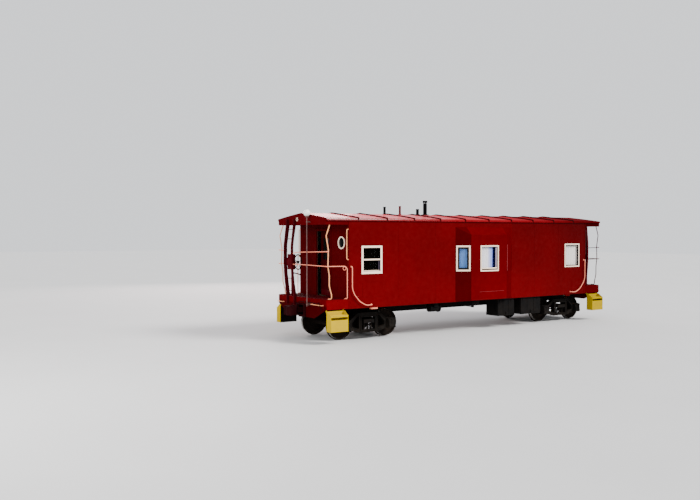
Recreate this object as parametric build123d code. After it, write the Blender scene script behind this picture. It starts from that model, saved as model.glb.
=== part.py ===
"""Bay-window caboose, full size, in millimetres.

X runs along the car (the A end is at -X), Y across it (the near side is at -Y), Z is up.
The origin is under the middle of the car, at the lowest point of the wheel flanges.
Heights written H(v) are measured from the top of the rail, which the treads would stand on.
"""
from build123d import *
from math import cos, radians, sin
import os

os.makedirs("parts", exist_ok=True)

# ---------------------------------------------------------------- driving dimensions
FLANGE = 25.0            # flange height under the tread
BODY_HALF_LEN = 5235.0   # outer face of each end wall
BODY_HALF_W = 1420.0     # outer face of each side sheet
WALL = 50.0              # side and end wall thickness
SILL_Z = 965.0           # bottom edge of the side sheets
FLOOR_Z = 1250.0         # top of the cabin floor and of the platform decks
FLOOR_T = 60.0
EAVE_Z = 3556.0          # top of the side sheets, underside of the roof edge
ROOF_HALF_LEN = 6025.0
ROOF_HALF_W = 1460.0
ROOF_EDGE_Z = 3629.0
RIDGE_Z = 3795.0
ROOF_T = 45.0
RIB_W, RIB_H = 40.0, 32.0
RIB_FIRST_X, RIB_PITCH, RIB_COUNT = -4920.0, 1050.0, 10
FASCIA_Z = 3430.0        # bottom of the end fascia and of the side bands over the platforms
DECK_END = 6000.0
SILL_PLATE = 20.0        # end sill plate, outside the deck end

BAY_X0, BAY_X1, BAY_X2, BAY_X3 = -1110.0, -640.0, 950.0, 1420.0
BAY_OUT = 240.0
BAY_BOTTOM, BAY_FRONT_TOP, BAY_BACK_TOP = 1000.0, 3135.0, 3380.0
BAY_T = 40.0

WHEEL_D, WHEELBASE, TRUCK_X = 838.0, 1680.0, 4300.0
BACK_TO_BACK, RIM_W, FLANGE_T = 1356.0, 140.0, 30.0
JOURNAL_Y = 1003.0       # middle of each journal
JOURNAL_R, BORE_R = 68.0, 78.0

DOOR_HALF_W, DOOR_H = 410.0, 2000.0
DOOR_GAP, DOOR_T = 6.0, 40.0
PORT_Y, PORT_Z, PORT_R = 1030.0, 2900.0, 165.0

COUPLER_Z, COUPLER_PIVOT = 876.0, 5350.0
ROD_R = 15.0


def H(v):
    return v + FLANGE


def box(x0, x1, y0, y1, z0, z1):
    return Box(x1 - x0, y1 - y0, z1 - z0).moved(
        Location(((x0 + x1) / 2, (y0 + y1) / 2, (z0 + z1) / 2)))


def cyl(p0, p1, r):
    a, b = Vector(*p0), Vector(*p1)
    return Solid.make_cylinder(r, (b - a).length, Plane(origin=a, z_dir=(b - a)))


def prism_x(points, x0, x1):
    """Outline in (y, z), run from x0 to x1."""
    face = make_face(Polyline(*[(0, y, z) for y, z in points], close=True))
    return extrude(face, amount=x1 - x0, dir=(1, 0, 0)).moved(Location((x0, 0, 0)))


def prism_y(points, y0, y1):
    """Outline in (x, z), run from y0 to y1."""
    face = make_face(Polyline(*[(x, 0, z) for x, z in points], close=True))
    return extrude(face, amount=y1 - y0, dir=(0, 1, 0)).moved(Location((0, y0, 0)))


def prism_z(points, z0, z1):
    """Outline in (x, y), run from z0 to z1."""
    face = make_face(Polyline(*[(x, y, 0) for x, y in points], close=True))
    return extrude(face, amount=z1 - z0, dir=(0, 0, 1)).moved(Location((0, 0, z0)))


def rod(points, radius, r=ROD_R):
    """Round bar along points, its corners bent to the given radius."""
    if len(points) == 2:
        return cyl(points[0], points[1], r)
    path = FilletPolyline(*points, radius=radius)
    return sweep(Plane(origin=path @ 0, z_dir=path % 0) * Circle(r), path=path)


def far(shape):
    """The same piece on the far side."""
    return mirror(shape, about=Plane.XZ)


def b_end(shape):
    """The same piece at the B end: the car is turned end for end."""
    return shape.rotate(Axis.Z, 180)


def save(name, *pieces):
    solids = []
    for piece in pieces:
        solids += list(piece.solids())
    out = solids[0] if len(solids) == 1 else Compound(children=solids)
    export_step(out, f"parts/{name}.step")
    print(name, len(solids), round(sum(s.volume for s in solids) / 1e9, 4))


# ---------------------------------------------------------------- roof
def roof_line(drop=0.0, half_w=ROOF_HALF_W, low=EAVE_Z, edge=ROOF_EDGE_Z):
    """Closed outline of everything under the roof surface, down to `low`."""
    knee = half_w - 60
    left = [(-half_w, H(low)), (-half_w, H(edge - 45 - drop))]
    mid = (RIDGE_Z + edge) / 2 + 7 - drop
    edges = [
        Polyline((0, *left[0]), (0, *left[1])),
        ThreePointArc((0, *left[1]), (0, -half_w + 14, H(edge - 13 - drop)), (0, -knee, H(edge - drop))),
        ThreePointArc((0, -knee, H(edge - drop)), (0, -knee / 2, H(mid)), (0, 0, H(RIDGE_Z - drop))),
        ThreePointArc((0, 0, H(RIDGE_Z - drop)), (0, knee / 2, H(mid)), (0, knee, H(edge - drop))),
        ThreePointArc((0, knee, H(edge - drop)), (0, half_w - 14, H(edge - 13 - drop)), (0, half_w, H(edge - 45 - drop))),
        Polyline((0, half_w, H(edge - 45 - drop)), (0, half_w, H(low))),
        Line((0, half_w, H(low)), (0, -half_w, H(low))),
    ]
    return make_face(Wire(list(e for c in edges for e in c.edges())))


def run_x(face, x0, x1):
    return extrude(face, amount=x1 - x0, dir=(1, 0, 0)).moved(Location((x0, 0, 0)))


def under_line(half_w, low):
    """Closed outline of the space under the roof sheet."""
    top_edge, top = H(ROOF_EDGE_Z - ROOF_T), H(RIDGE_Z - ROOF_T)
    mid = (top_edge + top) / 2 + 7
    pts = [Polyline((0, -half_w, H(low)), (0, -half_w, top_edge)),
           ThreePointArc((0, -half_w, top_edge), (0, -half_w / 2, mid), (0, 0, top)),
           ThreePointArc((0, 0, top), (0, half_w / 2, mid), (0, half_w, top_edge)),
           Polyline((0, half_w, top_edge), (0, half_w, H(low))),
           Line((0, half_w, H(low)), (0, -half_w, H(low)))]
    return make_face(Wire(list(e for c in pts for e in c.edges())))


INNER_W = BODY_HALF_W - WALL
FASCIA_T = 12.0
roof_end = ROOF_HALF_LEN - FASCIA_T
roof = run_x(roof_line(), -roof_end, roof_end) - run_x(under_line(INNER_W, EAVE_Z - 10), -roof_end - 1, roof_end + 1)
save("roof", roof)

ribs = []
rib_skin = roof_line(drop=-RIB_H, half_w=ROOF_HALF_W + 8, low=EAVE_Z + 4)
roof_core = roof_line(low=EAVE_Z - 50)
for k in range(RIB_COUNT):
    x = RIB_FIRST_X + RIB_PITCH * k
    ribs.append(run_x(rib_skin, x - RIB_W / 2, x + RIB_W / 2) - run_x(roof_core, x - RIB_W, x + RIB_W))
save("roof_ribs", *ribs)

fascia = run_x(roof_line(), -ROOF_HALF_LEN, -roof_end)
fascia += box(-ROOF_HALF_LEN, -roof_end, -BODY_HALF_W, BODY_HALF_W, H(FASCIA_Z), H(EAVE_Z))
for s in (-1, 1):
    y0, y1 = sorted((s * BODY_HALF_W, s * (BODY_HALF_W - 12)))
    fascia += box(-roof_end, -BODY_HALF_LEN, y0, y1, H(FASCIA_Z), H(EAVE_Z))
save("roof_fascias", fascia, b_end(fascia))

# ---------------------------------------------------------------- side and end walls
# windows on the flat of each side: outer frame x0, x1, z0, z1, border, with or without a meeting rail
SIDE_WINDOWS = [(-4788, -4038, 1985, 2812, 62, True),
                (4110, 4890, 1964, 2806, 38, False)]
MEET = 19.0              # half height of the meeting rail
LAP = 28.0               # how far a frame laps the sheet round its hole
FRAME_OUT = 14.0         # how far a frame stands proud
PANE_T = 6.0

side = box(-BODY_HALF_LEN, BODY_HALF_LEN, -BODY_HALF_W, -INNER_W, H(SILL_Z), H(EAVE_Z))
side -= box(BAY_X0 + 60, BAY_X3 - 60, -BODY_HALF_W - 10, -INNER_W + 10, H(FLOOR_Z), H(BAY_BACK_TOP - 70))
for x0, x1, z0, z1, _, _ in SIDE_WINDOWS:
    side -= box(x0 + LAP, x1 - LAP, -BODY_HALF_W - 10, -INNER_W + 10, H(z0 + LAP), H(z1 - LAP))
save("side_wall_near", side)
save("side_wall_far", far(side))

end = run_x(under_line(INNER_W, FLOOR_Z), -BODY_HALF_LEN, -BODY_HALF_LEN + WALL)
end -= box(-BODY_HALF_LEN - 10, -BODY_HALF_LEN + WALL + 10, -DOOR_HALF_W, DOOR_HALF_W, H(FLOOR_Z) - 1, H(FLOOR_Z + DOOR_H))
end -= cyl((-BODY_HALF_LEN - 10, -PORT_Y, H(PORT_Z)), (-BODY_HALF_LEN + WALL + 10, -PORT_Y, H(PORT_Z)), PORT_R)
save("end_wall_a", end)
save("end_wall_b", b_end(end))

# ---------------------------------------------------------------- bays
bay_plan = [(BAY_X0, -BODY_HALF_W), (BAY_X1, -BODY_HALF_W - BAY_OUT),
            (BAY_X2, -BODY_HALF_W - BAY_OUT), (BAY_X3, -BODY_HALF_W)]
slant = (BAY_X1 - BAY_X0, -BAY_OUT)
inset = BAY_T / (BAY_OUT / (slant[0] ** 2 + BAY_OUT ** 2) ** 0.5)      # along X at the side sheet
shift = BAY_T * ((slant[0] ** 2 + BAY_OUT ** 2) ** 0.5 - slant[0]) / BAY_OUT
inner_plan = [(BAY_X0 + inset, -BODY_HALF_W + 1), (BAY_X0 + inset, -BODY_HALF_W), (BAY_X1 + shift, -BODY_HALF_W - BAY_OUT + BAY_T),
              (BAY_X2 - shift, -BODY_HALF_W - BAY_OUT + BAY_T), (BAY_X3 - inset, -BODY_HALF_W),
              (BAY_X3 - inset, -BODY_HALF_W + 1)]
rise = (BAY_BACK_TOP - BAY_FRONT_TOP) / BAY_OUT


def under_slope(z_back):
    """Everything under the bay's sloping top, as a prism along X."""
    y_back, y_front = -BODY_HALF_W + 5, -BODY_HALF_W - BAY_OUT - 60
    return prism_x([(y_back, H(0)), (y_front, H(0)), (y_front, H(z_back - rise * (BAY_OUT + 60))), (y_back, H(z_back + rise * 5))],
                   BAY_X0 - 100, BAY_X3 + 100)


bay = prism_z(bay_plan, H(BAY_BOTTOM), H(BAY_BACK_TOP + 60)) & under_slope(BAY_BACK_TOP)
bay -= prism_z(inner_plan, H(BAY_BOTTOM + BAY_T), H(BAY_BACK_TOP + 60)) & under_slope(BAY_BACK_TOP - BAY_T * 1.43)

# windows of each bay: x0, x1, z0, z1 in the plane of the face; the slanted face towards the B end is plain
FRONT_WIN = (-237.0, 570.0, 1934.0, 2782.0)
FRONT_BORDER = 40.0
ANGLE_WIN = (23.0, 496.0, 1955.0, 2785.0)      # distance along the slanted face, from the side sheet


def on_slant(shape):
    """Piece drawn along +X from 0 with its outer face at y = 0, set on the slanted face next to the A end."""
    from_side = Location((BAY_X0, -BODY_HALF_W, 0))
    turn = Location((0, 0, 0), (0, 0, -Vector(slant[0], BAY_OUT, 0).get_angle(Vector(1, 0, 0))))
    return shape.moved(from_side * turn)


def frame_piece(x0, x1, z0, z1, border, lap, rail, depth=WALL - 6):
    """Window frame whose sheet face is y = 0: a proud flange, a spigot through the hole, and a rail."""
    f = box(x0, x1, -FRAME_OUT, 0, H(z0), H(z1))
    f += box(x0 + lap, x1 - lap, 0, depth, H(z0 + lap), H(z1 - lap))
    f -= box(x0 + border, x1 - border, -50, depth + 10, H(z0 + border), H(z1 - border))
    if rail:
        zm = (z0 + z1) / 2
        f += box(x0 + border, x1 - border, -FRAME_OUT + 4, depth - 4, H(zm - MEET), H(zm + MEET))
    return f


def pane_pieces(x0, x1, z0, z1, border, rail, y=14.0):
    if not rail:
        return [box(x0 + border, x1 - border, y, y + PANE_T, H(z0 + border), H(z1 - border))]
    zm = (z0 + z1) / 2
    return [box(x0 + border, x1 - border, y, y + PANE_T, H(z0 + border), H(zm - MEET)),
            box(x0 + border, x1 - border, y, y + PANE_T, H(zm + MEET), H(z1 - border))]


ANGLE_BORDER, ANGLE_LAP = 50.0, 38.0
s_cut = on_slant(box(ANGLE_WIN[0] + ANGLE_LAP, ANGLE_WIN[1] - ANGLE_LAP, -60, 90, H(ANGLE_WIN[2] + ANGLE_LAP), H(ANGLE_WIN[3] - ANGLE_LAP)))
bay -= s_cut
bay_face = Location((0, -BODY_HALF_W - BAY_OUT, 0))
bay -= box(FRONT_WIN[0] + LAP, FRONT_WIN[1] - LAP, -60, 90, H(FRONT_WIN[2] + LAP), H(FRONT_WIN[3] - LAP)).moved(bay_face)
save("bay_near", bay)
save("bay_far", far(bay))

side_face = Location((0, -BODY_HALF_W, 0))
frames, panes = [], []
for x0, x1, z0, z1, border, rail in SIDE_WINDOWS:
    frames.append(frame_piece(x0, x1, z0, z1, border, LAP, rail).moved(side_face))
    panes += [p.moved(side_face) for p in pane_pieces(x0, x1, z0, z1, border, rail, y=30.0)]
save("side_window_frames", *frames, *[far(f) for f in frames])
save("side_window_glass", *panes, *[far(p) for p in panes])

slant_frame = on_slant(frame_piece(*ANGLE_WIN, ANGLE_BORDER, ANGLE_LAP, False, depth=BAY_T - 6))
slant_pane = on_slant(pane_pieces(*ANGLE_WIN, ANGLE_BORDER, False)[0])
front_frame = frame_piece(*FRONT_WIN, FRONT_BORDER, LAP, False, depth=BAY_T - 6).moved(bay_face)
front_pane = pane_pieces(*FRONT_WIN, FRONT_BORDER, False, y=24.0)[0].moved(bay_face)
bay_frames = [slant_frame, front_frame]
bay_panes = [slant_pane, front_pane]
save("bay_window_frames", *bay_frames, *[far(f) for f in bay_frames])
save("bay_window_glass", *bay_panes, *[far(p) for p in bay_panes])

x_face = -BODY_HALF_LEN
ring = cyl((x_face - 16, -PORT_Y, H(PORT_Z)), (x_face, -PORT_Y, H(PORT_Z)), 188.0)
ring += cyl((x_face, -PORT_Y, H(PORT_Z)), (x_face + 40, -PORT_Y, H(PORT_Z)), PORT_R)
PORT_GLASS_R = 152.0
ring -= cyl((x_face - 30, -PORT_Y, H(PORT_Z)), (x_face + 50, -PORT_Y, H(PORT_Z)), PORT_GLASS_R)
port_pane = cyl((x_face + 8, -PORT_Y, H(PORT_Z)), (x_face + 14, -PORT_Y, H(PORT_Z)), PORT_GLASS_R)
save("porthole_rings", ring, b_end(ring))
save("porthole_glass", port_pane, b_end(port_pane))

# ---------------------------------------------------------------- end doors
leaf_x0 = -BODY_HALF_LEN + 20
leaf = box(leaf_x0, leaf_x0 + DOOR_T, -DOOR_HALF_W + DOOR_GAP, DOOR_HALF_W - DOOR_GAP,
           H(FLOOR_Z + DOOR_GAP), H(FLOOR_Z + DOOR_H - DOOR_GAP))
# recessed lower panel, on both faces
for xa, xb in ((leaf_x0 - 1, leaf_x0 + 10), (leaf_x0 + DOOR_T - 10, leaf_x0 + DOOR_T + 1)):
    leaf -= box(xa, xb, -270, 270, H(FLOOR_Z + 230), H(FLOOR_Z + 950))
leaf -= box(leaf_x0 - 1, leaf_x0 + DOOR_T + 1, -230, 230, H(FLOOR_Z + 1120), H(FLOOR_Z + 1780))
leaf_pane = box(leaf_x0 + 16, leaf_x0 + 22, -230, 230, H(FLOOR_Z + 1120), H(FLOOR_Z + 1780))
# lever and its rose, at the free edge
leaf += cyl((leaf_x0 - 8, 340, H(FLOOR_Z + 1010)), (leaf_x0, 340, H(FLOOR_Z + 1010)), 32)
leaf += cyl((leaf_x0 - 45, 340, H(FLOOR_Z + 1010)), (leaf_x0 - 8, 340, H(FLOOR_Z + 1010)), 11)
leaf += cyl((leaf_x0 - 45, 351, H(FLOOR_Z + 1010)), (leaf_x0 - 45, 240, H(FLOOR_Z + 1010)), 11)
# the A end door stands ajar, turned inwards about the upright line where it hinges
DOOR_AJAR = 10.0
HINGE = (leaf_x0 + DOOR_T, -DOOR_HALF_W + DOOR_GAP)
hinge_line = Axis((HINGE[0], HINGE[1], 0), (0, 0, 1))
save("door_a", leaf.rotate(hinge_line, -DOOR_AJAR))
save("door_b", b_end(leaf))
save("door_glass_a", leaf_pane.rotate(hinge_line, -DOOR_AJAR))
save("door_glass_b", b_end(leaf_pane))

# ---------------------------------------------------------------- floor and underframe
save("cabin_floor", box(-BODY_HALF_LEN, BODY_HALF_LEN, -INNER_W, INNER_W, H(FLOOR_Z - FLOOR_T), H(FLOOR_Z)))

sill_top = H(FLOOR_Z - FLOOR_T)
CENTRE_HALF_W, CENTRE_Z0 = 200.0, 650.0
under = box(-DECK_END, DECK_END, -CENTRE_HALF_W, CENTRE_HALF_W, H(CENTRE_Z0), sill_top)
under -= box(-DECK_END - 1, DECK_END + 1, -CENTRE_HALF_W + 16, CENTRE_HALF_W - 16, H(CENTRE_Z0 + 20), sill_top - 120)
for s in (-1, 1):
    y0, y1 = sorted((s * (INNER_W - 110), s * INNER_W))
    under += box(-BODY_HALF_LEN, BODY_HALF_LEN, y0, y1, H(SILL_Z + 5), sill_top)
    # body bolster, tapering up towards the side sills, and the centre plate below it
    b = prism_x([(-INNER_W + 110, H(1040)), (-330, H(900)), (330, H(900)), (INNER_W - 110, H(1040)),
                 (INNER_W - 110, sill_top), (-INNER_W + 110, sill_top)], s * TRUCK_X - 170, s * TRUCK_X + 170)
    b -= box(s * TRUCK_X - 200, s * TRUCK_X + 200, -CENTRE_HALF_W, CENTRE_HALF_W, H(600), sill_top)
    under += b
    under += cyl((s * TRUCK_X, 0, H(CENTRE_Z0 - 32)), (s * TRUCK_X, 0, H(CENTRE_Z0)), 165)
for x in (-2400, -1000, 1200, 3050 - 400):
    for s in (-1, 1):
        y0, y1 = sorted((s * CENTRE_HALF_W, s * (INNER_W - 110)))
        under += box(x - 45, x + 45, y0, y1, H(1000), sill_top)
save("underframe", under)

# ---------------------------------------------------------------- end platforms
plate_x0, plate_x1 = -DECK_END - SILL_PLATE, -DECK_END
platform = box(-DECK_END, -BODY_HALF_LEN, -BODY_HALF_W, BODY_HALF_W, H(FLOOR_Z - 40), H(FLOOR_Z))
for s in (-1, 1):
    y0, y1 = sorted((s * BODY_HALF_W, s * (BODY_HALF_W - 20)))
    platform += box(-DECK_END, -BODY_HALF_LEN, y0, y1, H(970), H(FLOOR_Z))
platform += prism_x([(-BODY_HALF_W, H(975)), (-760, H(680)), (760, H(680)), (BODY_HALF_W, H(975)),
                     (BODY_HALF_W, H(FLOOR_Z)), (-BODY_HALF_W, H(FLOOR_Z))], plate_x0, plate_x1)
platform -= box(plate_x0 - 1, plate_x1 + 1, -186, 186, H(730), H(1030))
platform -= box(-DECK_END, -BODY_HALF_LEN + 1, -CENTRE_HALF_W, CENTRE_HALF_W, H(600), sill_top)
save("end_platform_a", platform)
save("end_platform_b", b_end(platform))

# ---------------------------------------------------------------- corner steps
STEP_X0, STEP_X1 = -5985.0, -5395.0
STEP_OUT, STEP_IN, STEP_LOW = 1630.0, 1385.0, 345.0
HANGER_IN = 1290.0       # the cheeks hang from the deck by a narrow strap behind the skirt
step = None
for x in (STEP_X0, STEP_X1 - 8):
    cheek = prism_x([(-STEP_IN, H(STEP_LOW)), (-STEP_OUT, H(STEP_LOW)), (-STEP_OUT, H(800)), (-1450, H(930)),
                     (-1398, H(930)), (-1398, H(FLOOR_Z - 40)), (-HANGER_IN, H(FLOOR_Z - 40)), (-HANGER_IN, H(980)),
                     (-STEP_IN, H(860))], x, x + 8)
    step = cheek if step is None else step + cheek
step += box(STEP_X0, STEP_X1, -STEP_OUT, -STEP_IN, H(808), H(815))               # top tread
step += box(STEP_X0, STEP_X1, -STEP_OUT, -STEP_OUT + 8, H(765), H(815))          # its lip
step += box(STEP_X0, STEP_X1, -STEP_OUT, -STEP_IN, H(560), H(568))               # middle tread
step += box(STEP_X0, STEP_X1, -STEP_OUT, -STEP_OUT + 8, H(560), H(690))          # riser under the toe slot
step += box(STEP_X0, STEP_X1, -STEP_OUT, -STEP_IN, H(STEP_LOW), H(STEP_LOW + 8))  # bottom tread
step += box(STEP_X0, STEP_X1, -STEP_OUT, -STEP_OUT + 8, H(STEP_LOW), H(560))
step += box(STEP_X0, STEP_X1, -STEP_IN - 8, -STEP_IN, H(STEP_LOW), H(930))       # back sheet
save("steps_a", step, far(step))
save("steps_b", b_end(step), b_end(far(step)))

# ---------------------------------------------------------------- ladders, rails and grab irons
LADDER_Y = (330.0, 776.0)
# side view of a stile, x outside the end and z, A end
STILE = [(-6066, 1010), (-6066, 1250), (-6135, 1900), (-6158, 2300), (-6154, 2800), (-6076, 3440), (-6076, 3610)]
STILE_D, STILE_HALF_W = 66.0, 28.0
ladder = None
for y in LADDER_Y:
    front = [(x - STILE_D / 2, H(z)) for x, z in STILE]
    back = [(x + STILE_D / 2, H(z)) for x, z in reversed(STILE)]
    stile = prism_y(front + back, y - STILE_HALF_W, y + STILE_HALF_W)
    # feet on the end sill plate, and a clip on the fascia
    stile += box(-6066, plate_x0, y - STILE_HALF_W, y + STILE_HALF_W, H(1020), H(1110))
    stile += box(-6076, -ROOF_HALF_LEN, y - STILE_HALF_W, y + STILE_HALF_W, H(3470), H(3540))
    ladder = stile if ladder is None else ladder + stile
RUNG_Z = [1420, 1800, 3010, 3300]


def stile_x(z):
    for (x0, z0), (x1, z1) in zip(STILE, STILE[1:]):
        if z0 <= z <= z1:
            return x0 + (x1 - x0) * (z - z0) / (z1 - z0)


for z in RUNG_Z:
    ladder += cyl((stile_x(z), LADDER_Y[0], H(z)), (stile_x(z), LADDER_Y[1], H(z)), 11)
save("ladder_a", ladder)
save("ladder_b", b_end(ladder))

# hand brake: housing between the stiles, its shaft and wheel on the platform side
brake = box(-6110, -5990, 412, 690, H(2070), H(2540))
brake += box(-6130, -6110, 376, 730, H(2180), H(2430))
brake = brake + cyl((-5990, 560, H(2290)), (-5830, 560, H(2290)), 20)
save("brake_housing_a", brake)
save("brake_housing_b", b_end(brake))
BRAKE_R = 240.0
hub = (-5830, 560, H(2290))
wheel = Solid.make_torus(BRAKE_R - 13, 13, Plane(origin=(hub[0] + 20, hub[1], hub[2]), z_dir=(1, 0, 0)))
wheel = wheel + cyl(hub, (hub[0] + 40, hub[1], hub[2]), 42)
for k in range(5):
    a = radians(90 + 72 * k)
    wheel = wheel + cyl((hub[0] + 20, hub[1] + 30 * cos(a), hub[2] + 30 * sin(a)),
                        (hub[0] + 20, hub[1] + (BRAKE_R - 16) * cos(a), hub[2] + (BRAKE_R - 16) * sin(a)), 10)
save("brake_wheel_a", wheel)
save("brake_wheel_b", b_end(wheel))

# corner grab poles and the rails between them and the ladder; one side of the A end, at y < 0
POLE_Y = -1389.0
POLE = [(-5880, 3556), (-5880, 3432), (-6000, 3100), (-5922, 2700), (-5940, 2230), (-5893, 1960), (-5893, 1650), (-5816, 1400)]
POLE_FOOT_Z = FLOOR_Z + ROD_R    # the foot turns inwards and lies on the deck
POLE_BENDS = [120, 160, 300, 300, 300, 300, 200, 80]
RAIL_Y = 1448.0
pole = rod([(x, POLE_Y, H(z)) for x, z in POLE] + [(-5816, POLE_Y, H(POLE_FOOT_Z)), (-5816, -1230, H(POLE_FOOT_Z))],
           POLE_BENDS)
save("corner_poles", *[f(g(pole)) for f in (lambda q: q, b_end) for g in (lambda q: q, far)])

# each end has two round rails on either side of the ladder: an upper one out to the corner pole, and
# a lower one that runs on round the corner and down to the deck as a hoop
RAIL_R = 12.0
RAIL_ROOT_X, HOOP_X = -6148.0, -5310.0


def rail_set(s):
    # the slanting root meets the stile with its edge
    inner = (LADDER_Y[0] - STILE_HALF_W if s < 0 else LADDER_Y[1] + STILE_HALF_W) + s * RAIL_R
    z_in = 2604 if s < 0 else 2626
    upper = rod([(RAIL_ROOT_X, inner, H(z_in - 30)), (-6000, inner + s * 66, H(z_in)), (-6000, s * 1440, H(2652))], [40], RAIL_R)
    lower = rod([(RAIL_ROOT_X, inner, H(2236)), (-6000, inner + s * 66, H(2236)), (-6000, s * RAIL_Y, H(2226)),
                 (HOOP_X, s * RAIL_Y, H(2220)), (HOOP_X, s * RAIL_Y, H(FLOOR_Z + RAIL_R)), (HOOP_X, s * 1340, H(FLOOR_Z + RAIL_R))],
                [40, 20, 120, 60], RAIL_R)
    return upper, lower


rails = [*rail_set(-1), *rail_set(1)]
save("end_rails_a", *rails)
save("end_rails_b", *[b_end(r) for r in rails])

# J-shaped grab irons low on each side, vertical ones on the end walls, short ones on the end sills
J_OUT = 60.0
J = [(-5152, 2200), (-5152, 1560), (-5075, 1380), (-4880, 1165), (-4650, 1045), (-4430, 1058)]
jy = -BODY_HALF_W - J_OUT
j_pts = [(J[0][0], -BODY_HALF_W, H(J[0][1]))] + [(x, jy, H(z)) for x, z in J] + [(J[-1][0], -BODY_HALF_W, H(J[-1][1]))]
grab_j = rod(j_pts, [30, 300, 300, 300, 300, 30], 12)
gx, gy = -BODY_HALF_LEN - 58, -1395.0
grab_v = rod([(-BODY_HALF_LEN, gy, H(3299)), (gx, gy, H(3299)), (gx, gy, H(2412)), (-BODY_HALF_LEN, gy, H(2412))], [40, 40], 12)
sx = plate_x0 - 60
grab_s = rod([(plate_x0, -1250, H(1090)), (sx, -1250, H(1090)), (sx, -650, H(1090)), (plate_x0, -650, H(1090))], [28, 28], 11)
grab_t = rod([(plate_x0, 1400, H(1040)), (sx, 1400, H(1040)), (sx, 1090, H(1040)), (plate_x0, 1090, H(1040))], [28, 28], 11)
side_grabs = [grab_j, far(grab_j)]
save("side_grab_irons", *side_grabs, *[b_end(g) for g in side_grabs])
end_grabs = [grab_v, far(grab_v), grab_s, grab_t]
save("end_grab_irons", *end_grabs, *[b_end(g) for g in end_grabs])

# ---------------------------------------------------------------- lamp on the A end
LAMP_X, LAMP_Y = -6132.0, -530.0
lamp = cyl((LAMP_X, LAMP_Y, H(1030)), (LAMP_X, LAMP_Y, H(3690)), 15)
lamp += box(LAMP_X, plate_x0, LAMP_Y - 30, LAMP_Y + 30, H(1050), H(1110))
lamp += box(LAMP_X, -ROOF_HALF_LEN, LAMP_Y - 20, LAMP_Y + 20, H(3500), H(3540))
lamp += cyl((LAMP_X, LAMP_Y, H(3670)), (LAMP_X, LAMP_Y, H(3690)), 45)
GLOBE_R = 100.0
globe = Solid.make_sphere(GLOBE_R, Plane(origin=(LAMP_X, LAMP_Y, H(3782))), -90, 90, 360)
globe = globe - box(LAMP_X - 200, LAMP_X + 200, LAMP_Y - 200, LAMP_Y + 200, H(3600), H(3690))
save("lamp_post", lamp)
save("lamp_globe", globe)

# ---------------------------------------------------------------- roof fittings
# x, radius, top height, base flange radius
VENTS = [(-2905, 42, 4040, 58), (-2280, 35, 4075, 52), (-1540, 50, 3990, 95)]
vents = []
for x, r, top, base in VENTS:
    v = cyl((x, 0, H(3780)), (x, 0, H(top)), r)
    v += cyl((x, 0, H(3780)), (x, 0, H(3812)), base)
    v += cyl((x, 0, H(top - 22)), (x, 0, H(top)), r + 8)
    v -= run_x(roof_line(low=3600), x - 150, x + 150)
    vents.append(v)
save("roof_vents", *vents)
STACK_X, STACK_R, STACK_TOP = -1215.0, 66.0, 4275.0
stack = cyl((STACK_X, 0, H(3780)), (STACK_X, 0, H(4190)), STACK_R)
stack += cyl((STACK_X, 0, H(3780)), (STACK_X, 0, H(3815)), 120)
stack += cyl((STACK_X, 0, H(4205)), (STACK_X, 0, H(STACK_TOP)), STACK_R + 14)
for k in range(3):
    a = radians(30 + 120 * k)
    stack += cyl((STACK_X + 50 * cos(a), 50 * sin(a), H(4180)), (STACK_X + 50 * cos(a), 50 * sin(a), H(4210)), 8)
stack -= run_x(roof_line(low=3600), STACK_X - 150, STACK_X + 150)
save("smokestack", stack)

# ---------------------------------------------------------------- equipment under the floor
hang = H(SILL_Z + 5)
battery = box(1950, 2900, -1360, -800, H(380), hang)
battery += box(1940, 2910, -1368, -1360, H(440), H(900))
save("battery_box", battery)
tools = box(850, 1600, -1360, -800, H(380), hang)
tools += box(840, 1610, -1368, -1360, H(440), H(900))
save("tool_box", tools)
tank = cyl((-2050, 960, H(730)), (-850, 960, H(730)), 205)
for x in (-1850, -1050):
    tank += box(x - 25, x + 25, 930, 1260 + 60, H(900), hang)
save("air_reservoir", tank)
cylinder = cyl((-2000, -1150, H(800)), (-1640, -1150, H(800)), 130)
cylinder += cyl((-1640, -1150, H(800)), (-1600, -1150, H(800)), 150)
cylinder += cyl((-1600, -1150, H(800)), (-1450, -1150, H(800)), 28)
cylinder += box(-1900, -1740, -1320, -1150, H(830), hang)
save("brake_cylinder", cylinder)

# ---------------------------------------------------------------- trucks (drawn at x = 0)
AXLE_Z = WHEEL_D / 2
half = WHEELBASE / 2
frame_side = prism_y([(-half - 150, H(AXLE_Z - 60)), (-half - 150, H(AXLE_Z + 160)), (-half + 190, H(AXLE_Z + 170)),
                      (-400, H(790)), (400, H(790)), (half - 190, H(AXLE_Z + 170)), (half + 150, H(AXLE_Z + 160)),
                      (half + 150, H(AXLE_Z - 60)), (half - 170, H(AXLE_Z - 130)), (340, H(190)), (-340, H(190)),
                      (-half + 170, H(AXLE_Z - 130))], -1075, -930)
frame_side -= box(-255, 255, -1100, -900, H(270), H(650))
for s in (-1, 1):
    frame_side -= prism_y([(s * 345, H(300)), (s * 345, H(690)), (s * 400, H(690)), (s * 600, H(500)), (s * 600, H(380))], -1100, -900)
    frame_side += box(s * half - 140, s * half + 140, -1150, -880, H(AXLE_Z - 145), H(AXLE_Z + 150))
    frame_side -= cyl((s * half, -1110, H(AXLE_Z)), (s * half, -870, H(AXLE_Z)), BORE_R)
    # sloping lid of the journal box
    frame_side += prism_x([(-1150, H(AXLE_Z - 120)), (-1185, H(AXLE_Z - 100)), (-1160, H(AXLE_Z + 120)), (-1150, H(AXLE_Z + 130))],
                          s * half - 115, s * half + 115)
frames2 = [frame_side, far(frame_side)]
BOLSTER_TOP = CENTRE_Z0 - 60
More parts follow.
